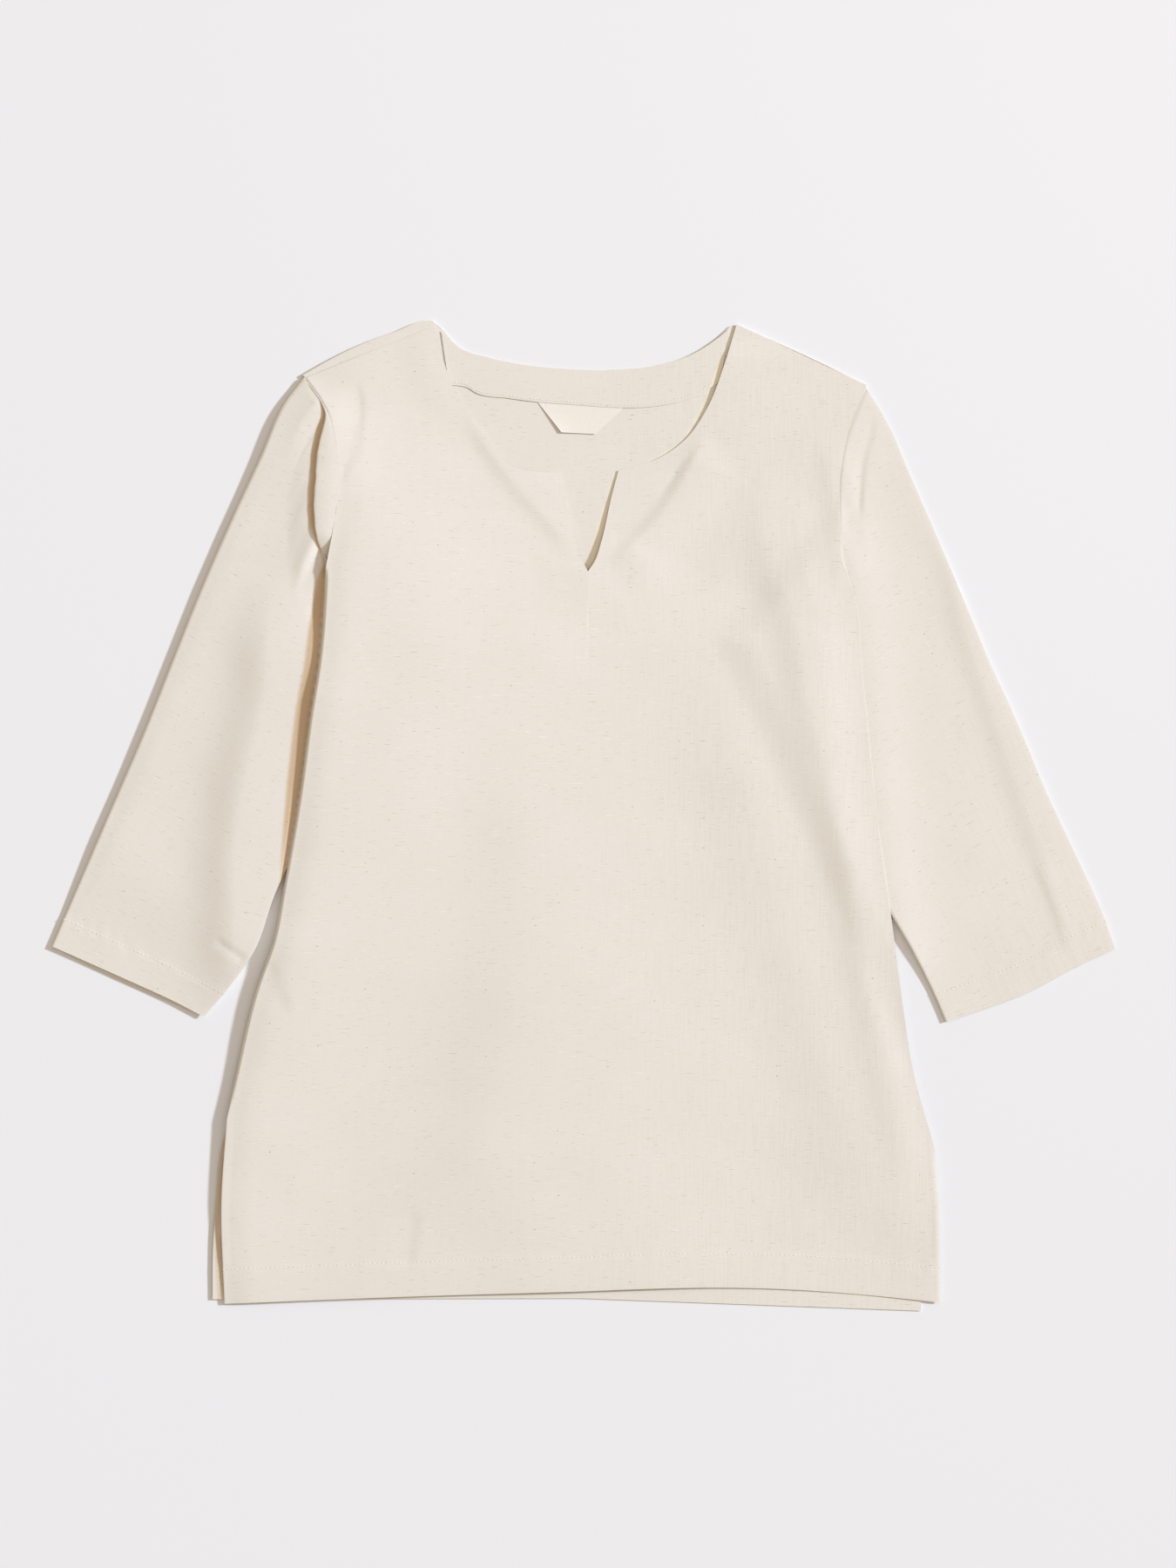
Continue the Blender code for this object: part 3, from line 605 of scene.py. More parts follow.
def back_half(side):
    front = FRONT_OUTER[side]
    lower, upper = (curve(front["armhole"], np.linspace(*ends, 7))
                    for ends in ((0, ARMHOLE_SPLIT), (ARMHOLE_SPLIT, 1)))
    outer = {
        "vent": BACK_VENT[side],
        "side": inset(front["side"], side, BACK_SIDE_INSET[side]),
        "low armhole": inset(front["low armhole"], side, BACK_INSET),
        "high armhole": inset(lower, side, BACK_INSET),
        "shoulder": inset(upper, side, BACK_INSET),
    }
    inner = {**BACK_MIDDLE, "shoulder": BACK_NECK[side]}
    plan = half_plan(side, outer, inner, BACK_ROWS, BACK_COLUMNS, BACK_EDGE_COLUMNS, 0)
    x, y, from_edge, _ = np.moveaxis(plan, 2, 0)
    height = back_height(x, y, side)
    from_hem = y - y[:1]
    height += np.maximum(turn_up(from_hem, HEM_DEPTH, x) * BACK_RELIEF, 0)
    half = np.stack([x, y, height], axis=-1)
    return np.concatenate([half[:-1], np.array(shoulder_roll(side, half.shape[1]))], axis=0)


def sleeve_end(side, shares):
    """Line of the sleeve's open end: the armhole seam, then under the body."""
    armhole = np.array(FRONT_OUTER[side]["armhole"][::-1])
    low = np.array(FRONT_OUTER[side]["low armhole"][::-1])
    visible = np.concatenate([armhole, low[1:]])
    over_end = visible[:, 1] - low[-1, 1]
    tuck = SEAM_TUCK * fade(*SEAM_SLIP[side], over_end)
    visible[:, 0] += side_sign(side) * (SEAM_GAP * 2 - tuck)
    under = np.array(SLEEVES[side]["underarm"])
    middle = (visible[-1] + under) / 2
    return curve(np.vstack([visible, middle, under]), shares)


def sleeve_patch(side, end, across, along):
    """Plan of a sleeve between its open end, its two folded edges and its cuff."""
    parts = SLEEVES[side]
    cuff = curve(parts["cuff"], across)
    outer = curve(parts["outer"], along)
    inner = curve(parts["inner"], along)
    outer = outer + (end[0] - outer[0]) * (1 - along[:, None]) ** 6
    u = across[None, :, None]
    s = along[:, None, None]
    lofted = (1 - s) * end[None] + s * cuff[None] + (1 - u) * outer[:, None] + u * inner[:, None]
    corners = ((1 - s) * ((1 - u) * end[0] + u * end[-1])
               + s * ((1 - u) * cuff[0] + u * cuff[-1]))
    return lofted - corners


def body_edge_x(side, y):
    stretches = ("vent", "side", "low armhole", "armhole")
    points = np.concatenate([np.array(FRONT_OUTER[side][name]) for name in stretches])
    return np.interp(y, points[:, 1], points[:, 0])


def edge_level(side, y):
    """Height of the front at its outer edge."""
    x = body_edge_x(side, y)
    return front_height(x, y, side, np.zeros_like(x), np.abs(x)) + ripples(x, y, RIPPLE_SEED)


def seam_height(side, end):
    """Height of the sleeve's upper wall along its open end."""
    y = end[:, 1]
    level = edge_level(side, y)
    over_end = y - FRONT_OUTER[side]["low armhole"][0][1]
    level -= SEAM_STEP[side] * fade(*SEAM_SLIP[side], over_end)
    return SLEEVE_LOW + (level - SLEEVE_LOW) * ease(*SEAM_DIP[side], over_end)


def sleeve_top(side, plan, along, seam_level):
    """Middle of the sleeve's upper wall."""
    x, y = plan[..., 0], plan[..., 1]
    out = side_sign(side) * (x - body_edge_x(side, y))
    open_share = ease(*SLEEVE_EASE[side], out)
    height = SLEEVE_LOW + open_share * SLEEVE_RISE[side]
    if side == "right":
        rest = edge_level(side, y) - BESIDE_BODY - SLEEVE_LOW - SLEEVE_RISE[side]
        height += open_share * rest * np.exp(-(out / BESIDE_REACH) ** 2)
    to_cuff = ease(1 - CUFF_LEVEL_REACH, 1, along)[:, None]
    height = height + (CUFF_LEVEL[side] - height) * to_cuff
    height += open_share * fold_height(x, y, SLEEVE_FOLDS[side])
    near_seam = fade(0, SEAM_BLEND, along)[:, None]
    return height + (seam_level[None, :] - height) * near_seam


def cuff_distance(plan):
    """Distance of each point from the cuff, along its own line down the sleeve."""
    steps = np.linalg.norm(np.diff(plan, axis=0), axis=2)
    total = np.vstack([np.zeros((1, plan.shape[1])), np.cumsum(steps, axis=0)])
    return total[-1:] - total


def sleeve_rows(side):
    """Plan and top height of a sleeve from its seam to its cuff."""
    across = np.linspace(0, 1, SLEEVE_COLUMNS)
    seam = sleeve_end(side, across)
    seam_level = seam_height(side, seam)
    if side == "right":
        along = np.linspace(0, 1, SLEEVE_STATIONS)
        plan = sleeve_patch(side, seam, across, along)
        return plan, sleeve_top(side, plan, along, seam_level)
    y = seam[:, 1]
    width = table_at(CAP_FOLD, "width", y)
    inside = (y > CAP_FOLD["y"][0]) & (y < CAP_FOLD["y"][-1])
    over = np.where(inside, table_at(CAP_FOLD, "height", y), 0)
    edge = seam - np.column_stack([width, np.zeros_like(width)])
    foot = edge - (CAP_DROP, 0)
    along = np.linspace(0, 1, SLEEVE_STATIONS - CAP_ROWS - CAP_TURNS)
    plan = sleeve_patch(side, foot, across, along)
    shown = SLEEVE_LOW + (CAP_FOOT - SLEEVE_LOW) * ease(*CAP_FOOT_START, y)
    shown = shown * fade(*CAP_FOOT_END, y)
    top = sleeve_top(side, plan, along, np.maximum(seam_level - over, shown))
    rows = []
    heights = []
    for step in range(CAP_ROWS):
        share = step / CAP_ROWS
        rows.append(seam + (edge - seam) * share)
        bulge = CAP_BULGE * width * math.sin(math.pi * share)
        heights.append(seam_level + np.where(inside, bulge, 0))
    for step in range(CAP_TURNS):
        turn = step / CAP_TURNS * math.pi / 2
        rows.append(edge + (foot - edge) * math.sin(turn))
        heights.append(seam_level + (top[0] - seam_level) * (1 - math.cos(turn)))
    return np.concatenate([np.array(rows), plan]), np.concatenate([np.array(heights), top])


def sleeve_rings(side):
    plan, top = sleeve_rows(side)
    x, y = plan[..., 0], plan[..., 1]
    from_seam = cuff_distance(plan[::-1])[::-1]
    top = top + ripples(x, y, RIPPLE_SEED + 1) * ease(0, SEAM_STEADY, from_seam)
    from_cuff = cuff_distance(plan)
    top += turn_up(from_cuff, CUFF_DEPTH, x * 1.1)
    seam_round = SLEEVE_SEAM_ROUND[side] * ease(*SEAM_ROUND_START[side], y)
    top -= seam_round * fade(0, SEAM_ROUND_REACH, from_seam)
    relief = turn_up(from_cuff, CUFF_DEPTH, y) * BACK_RELIEF
    floor = FLOOR_LEVEL + np.maximum(relief, 0)
    direction = unit(plan[:, -1] - plan[:, 0])
    shares = np.linspace(0, 1, plan.shape[1])
    shift = SLEEVE_EDGE * (1 - 2 * shares)
    layer = plan + direction[:, None, :] * shift[None, :, None]
    down = unit(layer[-1] - layer[-2])
    past = LOWER_CUFF[side] * np.sin(math.pi * shares) ** LOWER_CUFF_POWER
    reach = fade(0, LOWER_CUFF_REACH, from_cuff) * past[None, :]
    under, curled_end = CURL_UNDER[side]
    near_end = shares if curled_end == -1 else 1 - shares
    inward = -direction if curled_end == -1 else direction
    under = under * near_end**CURL_UNDER_POWER
    lower_plan = layer + down[None] * reach[..., None] + inward[:, None] * under[None, :, None]
    upper = raised(layer, top)
    lower = raised(lower_plan, floor)
    parts = [upper]
    for end, sign in ((-1, 1), (0, -1)):
        middle = (top[:, end] + floor[:, end]) / 2
        half = (top[:, end] - floor[:, end]) / 2
        turns = []
        for step in range(1, EDGE_TURNS + 1):
            turn = math.pi * step / (EDGE_TURNS + 1) - math.pi / 2
            turn = -turn if end == -1 else turn
            place = layer[:, end] + direction * sign * SLEEVE_EDGE * math.cos(turn)
            place = place + inward * under[end] * (1 - math.sin(turn)) / 2
            turns.append(np.column_stack([place, middle + half * math.sin(turn)]))
        parts.append(np.stack(turns, axis=1))
        if end == -1:
            parts.append(lower[:, ::-1])
    return np.concatenate(parts, axis=1)


def to_frame(points):
    points = np.asarray(points, float)
    return (points - np.array((MIDDLE_X, MIDDLE_Y, 0))) * MM


def add_to_scene(name, data):
    thing = bpy.data.objects.new(name, data)
    bpy.context.scene.collection.objects.link(thing)
    return thing


def keep_modified(piece):
    """Makes what the modifiers show the piece's own plain mesh."""
    bpy.context.view_layer.update()
    deps = bpy.context.evaluated_depsgraph_get()
    data = bpy.data.meshes.new_from_object(piece.evaluated_get(deps))
    piece.modifiers.clear()
    old = piece.data
    piece.data = data
    bpy.data.meshes.remove(old)
    data.name = piece.name
    data.shade_smooth()


def grid_mesh(name, grids, closed=False):
    """A mesh from grids of points in millimetres; grids that meet are joined."""
    places = []
    faces = []
    for grid in grids:
        rows, columns = grid.shape[:2]
        base = sum(len(part) for part in places)
        index = base + np.arange(rows * columns).reshape(rows, columns)
        if closed:
            index = np.column_stack([index, index[:, 0]])
        quads = np.stack([index[:-1, :-1], index[:-1, 1:], index[1:, 1:], index[1:, :-1]], axis=-1)
        faces.append(quads.reshape(-1, 4))
        places.append(to_frame(grid).reshape(-1, 3))
    data = bpy.data.meshes.new(name)
    data.from_pydata(np.concatenate(places).tolist(), [], np.concatenate(faces).tolist())
    work = bmesh.new()
    work.from_mesh(data)
    bmesh.ops.remove_doubles(work, verts=work.verts, dist=0.00001)
    bmesh.ops.recalc_face_normals(work, faces=work.faces)
    work.to_mesh(data)
    work.free()
    data.shade_smooth()
    return add_to_scene(name, data)


def thicken(piece, wall, material):
    """Gives a middle surface its wall and material, as a plain closed mesh."""
    shell = piece.modifiers.new("wall", "SOLIDIFY")
    shell.thickness = wall * MM
    shell.offset = 0
    shell.use_even_offset = False
    keep_modified(piece)
    piece.data.set_sharp_from_angle(angle=SHARP_ANGLE)
    piece.data.materials.append(material)


def paint_gap_shade_and_neck_light(piece):
    """Marks the cloth for painted shade in the gap beside the body's raised left edge, and for
    painted light in the shadow under the right flap.
    """
    count = len(piece.data.vertices)
    places = np.empty(count * 3)
    piece.data.vertices.foreach_get("co", places)
    x, y, _ = (places.reshape(-1, 3) / MM).T + np.array([[MIDDLE_X], [MIDDLE_Y], [0]])
    out = body_edge_x("left", y) - table_at(CAP_FOLD, "width", y) - x
    width = table_at(GAP_WIDTH, "width", y)
    share = fade(width - GAP_EDGE[0], width + GAP_EDGE[1], out) * ease(0, 0.8, out)
    share *= table_at(GAP_SHARE, "share", y)
    right = FRONT_INNER["right"]
    edge = np.array(right["low armhole"] + right["armhole"][1:])
    out = np.interp(y, edge[:, 1], edge[:, 0]) - x
    width = table_at(NECK_GAP_WIDTH, "width", y)
    opening = fade(width - NECK_GAP_EDGE[0], width + NECK_GAP_EDGE[1], out) * ease(-1, 0, out)
    for name, values in ((PAINTED_GAP_SHADE, share), (PAINTED_NECK_LIGHT, opening * ease(186, 190, y))):
        layer = piece.data.attributes.new(name, "FLOAT", "POINT")
        layer.data.foreach_set("value", values)


# Cloth materials
# Marks of the weave in the cloth: their strength and colour
WEAVE_MARKS = (
    ("Warp", 0.5, (0.70, 0.635, 0.55, 1)),
    ("Dark Slubs", 0.8, (0.54, 0.46, 0.36, 1)),
    ("Light Slubs", 0.7, (0.90, 0.85, 0.76, 1)),
)
CLOTH_SHADER = {"Roughness": 0.88, "Specular IOR Level": 0.25, "Sheen Weight": 0.06,
                "Sheen Roughness": 0.6}
CLOTH_COLOURS = ((0.806, 0.748, 0.668, 1), (0.818, 0.762, 0.684, 1))
FLECK_COLOUR = (0.30, 0.25, 0.20, 1)
FLECK_STRENGTH = 0.75
STREAK_EASE = 0.18
STREAK_LEAST = 0.35
LABEL_COLOURS = ((0.845, 0.785, 0.700, 1), (0.875, 0.82, 0.735, 1))
THREAD_COLOURS = ((0.78, 0.72, 0.63, 1), (0.88, 0.83, 0.75, 1))
BUMP_STRENGTH = 0.2
CLOTH_BUMP = 0.00025
LABEL_BUMP = 0.0001


def new_group(name, inputs, outputs):
    group = bpy.data.node_groups.new(name, "ShaderNodeTree")
    for label, kind, value in inputs:
        socket = group.interface.new_socket(label, in_out="INPUT", socket_type=kind)
        socket.default_value = value
    for label, kind in outputs:
        group.interface.new_socket(label, in_out="OUTPUT", socket_type=kind)
    return group, group.nodes.new("NodeGroupInput"), group.nodes.new("NodeGroupOutput")


def add_node(tree, kind, inputs=None, **settings):
    node = tree.nodes.new(kind)
    for key, value in settings.items():
        setattr(node, key, value)
    for key, value in (inputs or {}).items():
        if isinstance(value, bpy.types.NodeSocket):
            tree.links.new(value, node.inputs[key])
        else:
            node.inputs[key].default_value = value
    return node


def stretched(tree, vector, scale, **noise):
    """Noise stretched by a scale in each direction of the cloth."""
    mapping = add_node(tree, "ShaderNodeMapping", {"Vector": vector, "Scale": scale})
    values = {"Vector": mapping.outputs["Vector"], "Scale": 1, **noise}
    return add_node(tree, "ShaderNodeTexNoise", values, noise_dimensions="3D").outputs["Fac"]


def window(tree, value, low, high):
    return add_node(tree, "ShaderNodeMapRange", {
        "Value": value, "From Min": low, "From Max": high, "To Min": 0, "To Max": 1},
        interpolation_type="SMOOTHSTEP").outputs["Result"]


def maths(tree, operation, first, second):
    return add_node(tree, "ShaderNodeMath", {0: first, 1: second}, operation=operation).outputs[0]


def product(tree, first, second):
    return maths(tree, "MULTIPLY", first, second)


def plain_weave_group():
    """Threads over and under, with slubs along the weft and fainter ones along the warp."""
    group, start, end = new_group(
        "plain weave",
        [("Vector", "NodeSocketVector", (0, 0, 0)), ("Threads", "NodeSocketFloat", 1900),
         ("Warp Streaks", "NodeSocketFloat", 0.5)],
        [("Height", "NodeSocketFloat"), ("Dark Slubs", "NodeSocketFloat"),
         ("Light Slubs", "NodeSocketFloat"), ("Warp", "NodeSocketFloat")])
    vector = start.outputs["Vector"]
    split = add_node(group, "ShaderNodeSeparateXYZ", {"Vector": vector})
    turn = product(group, start.outputs["Threads"], 2 * math.pi)
    half = product(group, turn, 0.5)
    weft = maths(group, "SINE", product(group, split.outputs["Y"], half), 0)
    warp = maths(group, "SINE", product(group, split.outputs["X"], half), 0)
    threads = product(group, weft, warp)
    dark = window(group, stretched(group, vector, (95, 1500, 0), Detail=3,
                                   Roughness=0.65), 0.61, 0.71)
    light = window(group, stretched(group, vector, (80, 1300, 40), Detail=2,
                                    Roughness=0.6), 0.62, 0.72)
    ribs = stretched(group, vector, (620, 30, 0), Detail=3, Roughness=0.7)
    streaks = product(group, window(group, ribs, 0.4, 0.66),
                    start.outputs["Warp Streaks"])
    height = product(group, threads, 0.25)
    height = maths(group, "ADD", height, product(group, light, 0.8))
    height = maths(group, "ADD", height, product(group, streaks, 0.5))
    for value, socket in zip((height, dark, light, streaks), end.inputs):
        group.links.new(value, socket)
    return group


def fleck_group():
    """Sparse specks of seed husk spun into the yarn."""
    group, start, end = new_group(
        "seed flecks",
        [("Vector", "NodeSocketVector", (0, 0, 0)), ("Cells", "NodeSocketFloat", 120),
         ("Size", "NodeSocketFloat", 0.040)],
        [("Mask", "NodeSocketFloat")])
    long = add_node(group, "ShaderNodeMapping", {
        "Vector": start.outputs["Vector"], "Scale": (0.45, 1, 1)})
    cells = add_node(group, "ShaderNodeTexVoronoi", {
        "Vector": long.outputs["Vector"], "Scale": start.outputs["Cells"], "Randomness": 1},
        voronoi_dimensions="2D")
    pick = add_node(group, "ShaderNodeSeparateColor", {"Color": cells.outputs["Color"]})
    size = product(group, start.outputs["Size"],
                 window(group, pick.outputs["Red"], 0.6, 1))
    inside = maths(group, "LESS_THAN", cells.outputs["Distance"], size)
    mask = product(group, inside, pick.outputs["Green"])
    group.links.new(mask, end.inputs["Mask"])
    return group


def mix_colour(tree, factor, first, second, blend="MIX"):
    node = add_node(tree, "ShaderNodeMix", data_type="RGBA", blend_type=blend)
    for index, value in ((0, factor), (6, first), (7, second)):
        if isinstance(value, bpy.types.NodeSocket):
            tree.links.new(value, node.inputs[index])
        else:
            node.inputs[index].default_value = value
    return node.outputs[2]


def new_material(name, settings):
    material = bpy.data.materials.new(name)
    material.use_nodes = True
    tree = material.node_tree
    shader = tree.nodes["Principled BSDF"]
    for label, value in settings.items():
        shader.inputs[label].default_value = value
    return material, tree, shader


def own_place(tree):
    """Places in the piece's own space."""
    return add_node(tree, "ShaderNodeTexCoord").outputs["Object"]


def add_bump(tree, shader, height, distance):
    bump = add_node(tree, "ShaderNodeBump", {
        "Height": height, "Strength": BUMP_STRENGTH, "Distance": distance})
    tree.links.new(bump.outputs["Normal"], shader.inputs["Normal"])


def cloth_material(name, weave, flecks, turn, warp_streaks, streak_start):
    """Undyed cotton and linen; turn is the angle of its weft to the X axis."""
    material, tree, shader = new_material(name, CLOTH_SHADER)
    place = own_place(tree)
    mapping = add_node(tree, "ShaderNodeMapping", {"Vector": place, "Rotation": (0, 0, -turn)})
    vector = mapping.outputs["Vector"]
    cloth = add_node(tree, "ShaderNodeGroup", node_tree=weave)
    tree.links.new(vector, cloth.inputs["Vector"])
    across = add_node(tree, "ShaderNodeSeparateXYZ", {"Vector": place})
    combed = window(tree, across.outputs["X"], streak_start, streak_start + STREAK_EASE)
    combed = product(tree, maths(tree, "ADD", combed, STREAK_LEAST), warp_streaks)
    tree.links.new(combed, cloth.inputs["Warp Streaks"])
    specks = add_node(tree, "ShaderNodeGroup", node_tree=flecks)
    tree.links.new(vector, specks.inputs["Vector"])
    tone = stretched(tree, vector, (9, 14, 0), Detail=3, Roughness=0.55)
    base = mix_colour(tree, window(tree, tone, 0.3, 0.7), *CLOTH_COLOURS)
    for label, strength, colour in WEAVE_MARKS:
        share = product(tree, cloth.outputs[label], strength)
        base = mix_colour(tree, share, base, colour)
    speck = product(tree, specks.outputs["Mask"], FLECK_STRENGTH)
    base = mix_colour(tree, speck, base, FLECK_COLOUR)
    # Painted shade multiplied into the gap beside the body's left edge, and painted light mixed
    # into the shadow under the right flap
    for label, colour, blend in ((PAINTED_GAP_SHADE, PAINTED_GAP_SHADE_COLOUR, "MULTIPLY"),
                                 (PAINTED_NECK_LIGHT, PAINTED_NECK_LIGHT_COLOUR, "MIX")):
        share = add_node(tree, "ShaderNodeAttribute", attribute_name=label).outputs["Fac"]
        base = mix_colour(tree, share, base, colour, blend)
    tree.links.new(base, shader.inputs["Base Color"])
    add_bump(tree, shader, cloth.outputs["Height"], CLOTH_BUMP)
    return material


def label_material():
    material, tree, shader = new_material("label_ribbon", {"Roughness": 0.75})
    ribs = stretched(tree, own_place(tree), (2600, 240, 0), Detail=1)
    colour = mix_colour(tree, window(tree, ribs, 0.3, 0.7), *LABEL_COLOURS)
    tree.links.new(colour, shader.inputs["Base Color"])
    add_bump(tree, shader, ribs, LABEL_BUMP)
    return material


def thread_material():
    material, tree, shader = new_material("sewing_thread", {"Roughness": 0.6})
    twist = stretched(tree, own_place(tree), (900, 900, 900), Detail=1)
    colour = mix_colour(tree, window(tree, twist, 0.35, 0.65), *THREAD_COLOURS)
    tree.links.new(colour, shader.inputs["Base Color"])
    return material


# Sewing by Geometry Nodes

def stitch_tree(thread):
    """Short thread stitches at an even pitch along the piece's own edges."""
    tree = bpy.data.node_groups.new("stitches along a seam", "GeometryNodeTree")
    face = tree.interface
    face.new_socket("Geometry", in_out="INPUT", socket_type="NodeSocketGeometry")
    for label, value in (("Pitch", STITCH_PITCH * MM), ("Length", STITCH_LENGTH * MM),
                         ("Width", STITCH_WIDTH * MM)):
        socket = face.new_socket(label, in_out="INPUT", socket_type="NodeSocketFloat")
        socket.default_value = value
    seed = face.new_socket("Seed", in_out="INPUT", socket_type="NodeSocketInt")
    seed.default_value = 3
    face.new_socket("Geometry", in_out="OUTPUT", socket_type="NodeSocketGeometry")
    start = tree.nodes.new("NodeGroupInput")
    end = tree.nodes.new("NodeGroupOutput")
    line = add_node(tree, "GeometryNodeMeshToCurve", {"Mesh": start.outputs["Geometry"]})
    even = add_node(tree, "GeometryNodeResampleCurve", {
        "Curve": line.outputs["Curve"], "Length": start.outputs["Pitch"]}, mode="LENGTH")
    points = add_node(tree, "GeometryNodeCurveToPoints", {"Curve": even.outputs["Curve"]},
                      mode="EVALUATED")
    bead = add_node(tree, "GeometryNodeMeshUVSphere", {"Segments": 6, "Rings": 5, "Radius": 0.5})
    half = product(tree, start.outputs["Width"], 0.7)
    size = add_node(tree, "ShaderNodeCombineXYZ", {
        "X": start.outputs["Width"], "Y": half, "Z": start.outputs["Length"]})
    shaped = add_node(tree, "GeometryNodeTransform", {
        "Geometry": bead.outputs["Mesh"], "Scale": size.outputs["Vector"]})
    turn = add_node(tree, "FunctionNodeRandomValue", {
        "Seed": start.outputs["Seed"]}, data_type="FLOAT")
    turn.inputs[2].default_value = 0.8
    turn.inputs[3].default_value = 1.1
    copies = add_node(tree, "GeometryNodeInstanceOnPoints", {
        "Points": points.outputs["Points"], "Instance": shaped.outputs["Geometry"],
        "Rotation": points.outputs["Rotation"], "Scale": turn.outputs[1]})
    real = add_node(tree, "GeometryNodeRealizeInstances", {
        "Geometry": copies.outputs["Instances"]})
    finished = add_node(tree, "GeometryNodeSetMaterial", {
        "Geometry": real.outputs["Geometry"], "Material": thread})
    tree.links.new(finished.outputs["Geometry"], end.inputs["Geometry"])
    return tree


def sew(name, lines, tree, thread, pitch=STITCH_PITCH):
    """Stitches along lines of points given in millimetres, as one plain mesh."""
    places = []
    edges = []
    for line in lines:
        base = len(places)
        places.extend(to_frame(line).tolist())
        edges.extend((base + index, base + index + 1) for index in range(len(line) - 1))
    data = bpy.data.meshes.new(name)
    data.from_pydata(places, edges, [])
    guide = add_to_scene(name, data)
    made = guide.modifiers.new("stitches", "NODES")
    made.node_group = tree
    for item in tree.interface.items_tree:
        if item.item_type == "SOCKET" and item.in_out == "INPUT" and item.name == "Pitch":
            made[item.identifier] = pitch * MM
    keep_modified(guide)
    guide.data.materials.clear()
    guide.data.materials.append(thread)
    return guide


def line_at(grid, distances, depth, lift):
    """Line across a grid where a distance reaches depth, raised by lift."""
    line = []
    for column in range(grid.shape[1]):
        row = distances[:, column]
        order = np.argsort(row)
        place = [np.interp(depth, row[order], grid[order, column, axis]) for axis in range(3)]
        place[2] += lift
        line.append(place)
    return np.array(line)


def body_pieces(stitches, thread, material):
    """The front, the back and the front's hem sewing."""
    halves = {side: front_half(side) for side in SIDES}
    front = grid_mesh("front_cloth", [halves["left"][:, ::-1], halves["right"]])
    thicken(front, CLOTH, material)
    backs = {side: back_half(side) for side in SIDES}
    back = grid_mesh("back_cloth", [backs["left"][:, ::-1], backs["right"]])
    thicken(back, CLOTH, material)
    paint_gap_shade_and_neck_light(back)
    lines = []
    for half in halves.values():
        from_hem = half[..., 1] - half[:1, :, 1]
        lines.append(line_at(half[:HEM_ROWS], from_hem[:HEM_ROWS], HEM_DEPTH - STITCH_IN,
                             CLOTH / 2))
    hem = sew("front_hem_stitches", lines, stitches, thread)
    return {"front": front, "back": back, "hem": hem}


def sleeve_pieces(side, stitches, thread, material):
    ring = sleeve_rings(side)
    sleeve = grid_mesh(side + "_sleeve_cloth", [ring], closed=True)
    thicken(sleeve, CLOTH, material)
    if side == "left":
        paint_gap_shade_and_neck_light(sleeve)
    upper = ring[:, :SLEEVE_COLUMNS]
    from_cuff = cuff_distance(upper[..., :2])
    line = line_at(upper[-HEM_ROWS:], from_cuff[-HEM_ROWS:], CUFF_DEPTH - STITCH_IN, CLOTH / 2)
    cuff = sew(side + "_cuff_stitches", [line], stitches, thread)
    return {side: sleeve, side + " cuff": cuff}


def facing_pieces(stitches, thread, material):
    shares = np.linspace(0, 1, FACING_COLUMNS)
    lower = curve(FACING_LOWER, shares)
    upper = curve(FACING_UPPER, shares)
    across = np.concatenate([(0, 0.02, 0.05), np.linspace(0.1, 0.95, 16), (0.985, 1)])
    plan = lower + (upper - lower) * across[:, None, None]
    uneven = ripples(plan[..., 0], plan[..., 1], RIPPLE_SEED + 2, -math.inf)
    rounding = EDGE_ROUND * fade(0, 0.04, across)[:, None]
    height = FACING_LEVEL + uneven * 0.5 - rounding * 0.5
    grid = raised(plan, height)
    facing = grid_mesh("neck_facing_cloth", [grid])
    thicken(facing, FACING_CLOTH, material)
    paint_gap_shade_and_neck_light(facing)
    line = grid[2, 4:-4] + (0, 0.8, FACING_CLOTH / 2)
    sewing = sew("facing_stitches", [line], stitches, thread, FACING_PITCH)
    return {"facing": facing, "facing sewing": sewing}


def label_piece():
    """The bare label: wide at its sewn top, its free corners lifting a little."""
    rows = np.linspace(0, 1, LABEL_ROWS)[:, None, None]
    columns = np.linspace(0, 1, LABEL_COLUMNS)[None, :, None]
    corners = {key: np.array(value) for key, value in LABEL_CORNERS.items()}
    bottom = corners["bottom"][0] + (corners["bottom"][1] - corners["bottom"][0]) * columns
    top = corners["top"][0] + (corners["top"][1] - corners["top"][0]) * columns
    plan = bottom + (top - bottom) * rows
    free = (1 - rows[..., 0]) ** 2 + (1 - columns[..., 0]) ** 4
    height = LABEL_LEVEL + LABEL_CURL * free * (1 - rows[..., 0] ** 2)
    label = grid_mesh("neck_label_ribbon", [raised(plan, height)])
    thicken(label, LABEL_CLOTH, label_material())
    return label


def build_pieces():
    groups = (plain_weave_group(), fleck_group())
    cloths = {name: cloth_material(name + "_cloth", *groups, math.atan2(*run), streaks, start)
              for name, run, streaks, start in CLOTHS}
    thread = thread_material()
    stitches = stitch_tree(thread)
    pieces = body_pieces(stitches, thread, cloths["body"])
    for side in SIDES:
        pieces.update(sleeve_pieces(side, stitches, thread, cloths[side + "_sleeve"]))
    pieces.update(facing_pieces(stitches, thread, cloths["body"]))
    pieces["label"] = label_piece()
    return pieces


def build_stage():
    bpy.ops.mesh.primitive_plane_add(size=FLOOR_SIZE, location=(0, 0, -FLOOR_DROP))
    floor = bpy.context.object
    floor.name = "pale_floor"
    material, _, _ = new_material("pale_floor", FLOOR_SHADER)
    floor.data.materials.append(material)


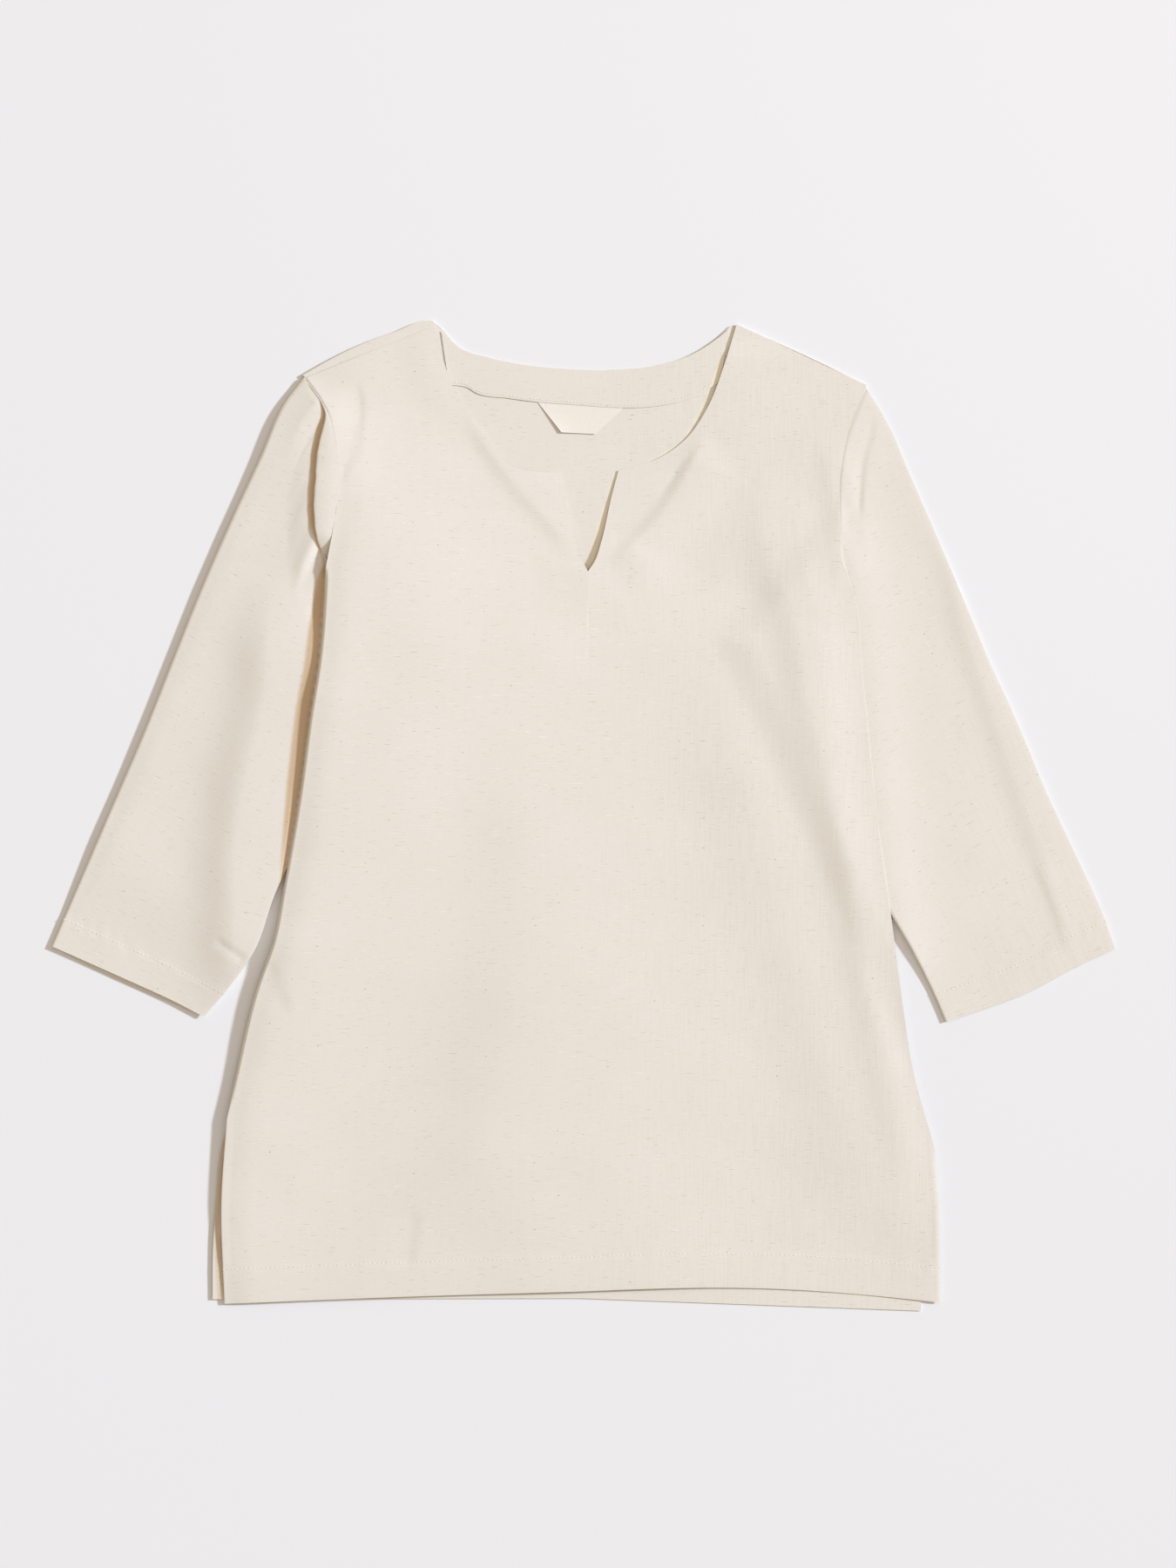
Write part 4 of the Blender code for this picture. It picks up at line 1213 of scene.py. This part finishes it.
FLOOR_SIZE = 8
FLOOR_DROP = 0.0003
FLOOR_SHADER = {"Base Color": (0.86, 0.855, 0.865, 1), "Roughness": 0.95,
                "Specular IOR Level": 0.1}
KEY_ELEVATION = math.radians(21)
KEY_HEADING = math.radians(16)
KEY_SPREAD = math.radians(4.5)
KEY_STRENGTH = 4.75
KEY_COLOUR = (0.756, 0.858, 1)
FILL_STRENGTH = 0.54
FILL_COLOUR = (1, 0.875, 0.735, 1)
SIDE_LIGHT_POWER = 4
SIDE_LIGHT_PLACE = (1.25, 1.15, 1.4)
SIDE_LIGHT_SIZE = 1
CAMERA_X = 2.9 * MM
CAMERA_Y = 24 * MM
FRAME_HEIGHT = 1206 * MM
LENS = 85
SENSOR = 36


def build_light():
    sun = bpy.data.lights.new("key", "SUN")
    sun.energy = KEY_STRENGTH
    sun.angle = KEY_SPREAD
    sun.color = KEY_COLOUR
    lamp = add_to_scene("key", sun)
    lamp.rotation_euler = (0, math.pi / 2 - KEY_ELEVATION, KEY_HEADING)
    world = bpy.data.worlds.new("studio")
    world.use_nodes = True
    sky = world.node_tree.nodes["Background"]
    sky.inputs["Color"].default_value = FILL_COLOUR
    sky.inputs["Strength"].default_value = FILL_STRENGTH
    panel = bpy.data.lights.new("side panel", "AREA")
    panel.energy = SIDE_LIGHT_POWER
    panel.size = SIDE_LIGHT_SIZE
    stand = add_to_scene("side panel", panel)
    stand.location = SIDE_LIGHT_PLACE
    stand.rotation_euler = (-Vector(SIDE_LIGHT_PLACE)).to_track_quat("-Z", "Y").to_euler()
    bpy.context.scene.world = world
    bpy.context.scene.view_settings.view_transform = "Standard"


def build_camera():
    data = bpy.data.cameras.new("camera")
    data.lens = LENS
    data.sensor_width = SENSOR
    data.sensor_fit = "AUTO"
    camera = add_to_scene("camera", data)
    camera.location = (CAMERA_X, CAMERA_Y, FRAME_HEIGHT * LENS / SENSOR)
    bpy.context.scene.camera = camera


build_camera()
build_light()
build_stage()
pieces = build_pieces()

# Flat cut of what shows of each sheet, from its outline: both layers on a sleeve
SHEETS = (
    ("front", "front_panel", (0.553, 0.752), 0.3176, ["back_panel"], ["hem"]),
    ("back", "back_panel", (0.556, 0.762), 0.3370, [], []),
    ("left", "sleeve_left", (0.314, 0.479), 0.1163, [], ["left cuff"]),
    ("right", "sleeve_right", (0.306, 0.476), 0.1155, [], ["right cuff"]),
    ("facing", "back_neck_facing", (0.221, 0.061), 0.0063, ["back_panel"], ["facing sewing"]),
    ("label", "neck_label", (0.067, 0.024), 0.00096, ["back_panel"], []),
)
for key, node, flat, area, rests_on, sewing_names in SHEETS:
    piece = pieces[key]
    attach(piece, "root")
    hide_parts(node)
    sewing = [pieces[name] for name in sewing_names]
    for threads in sewing:
        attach(threads, "root")
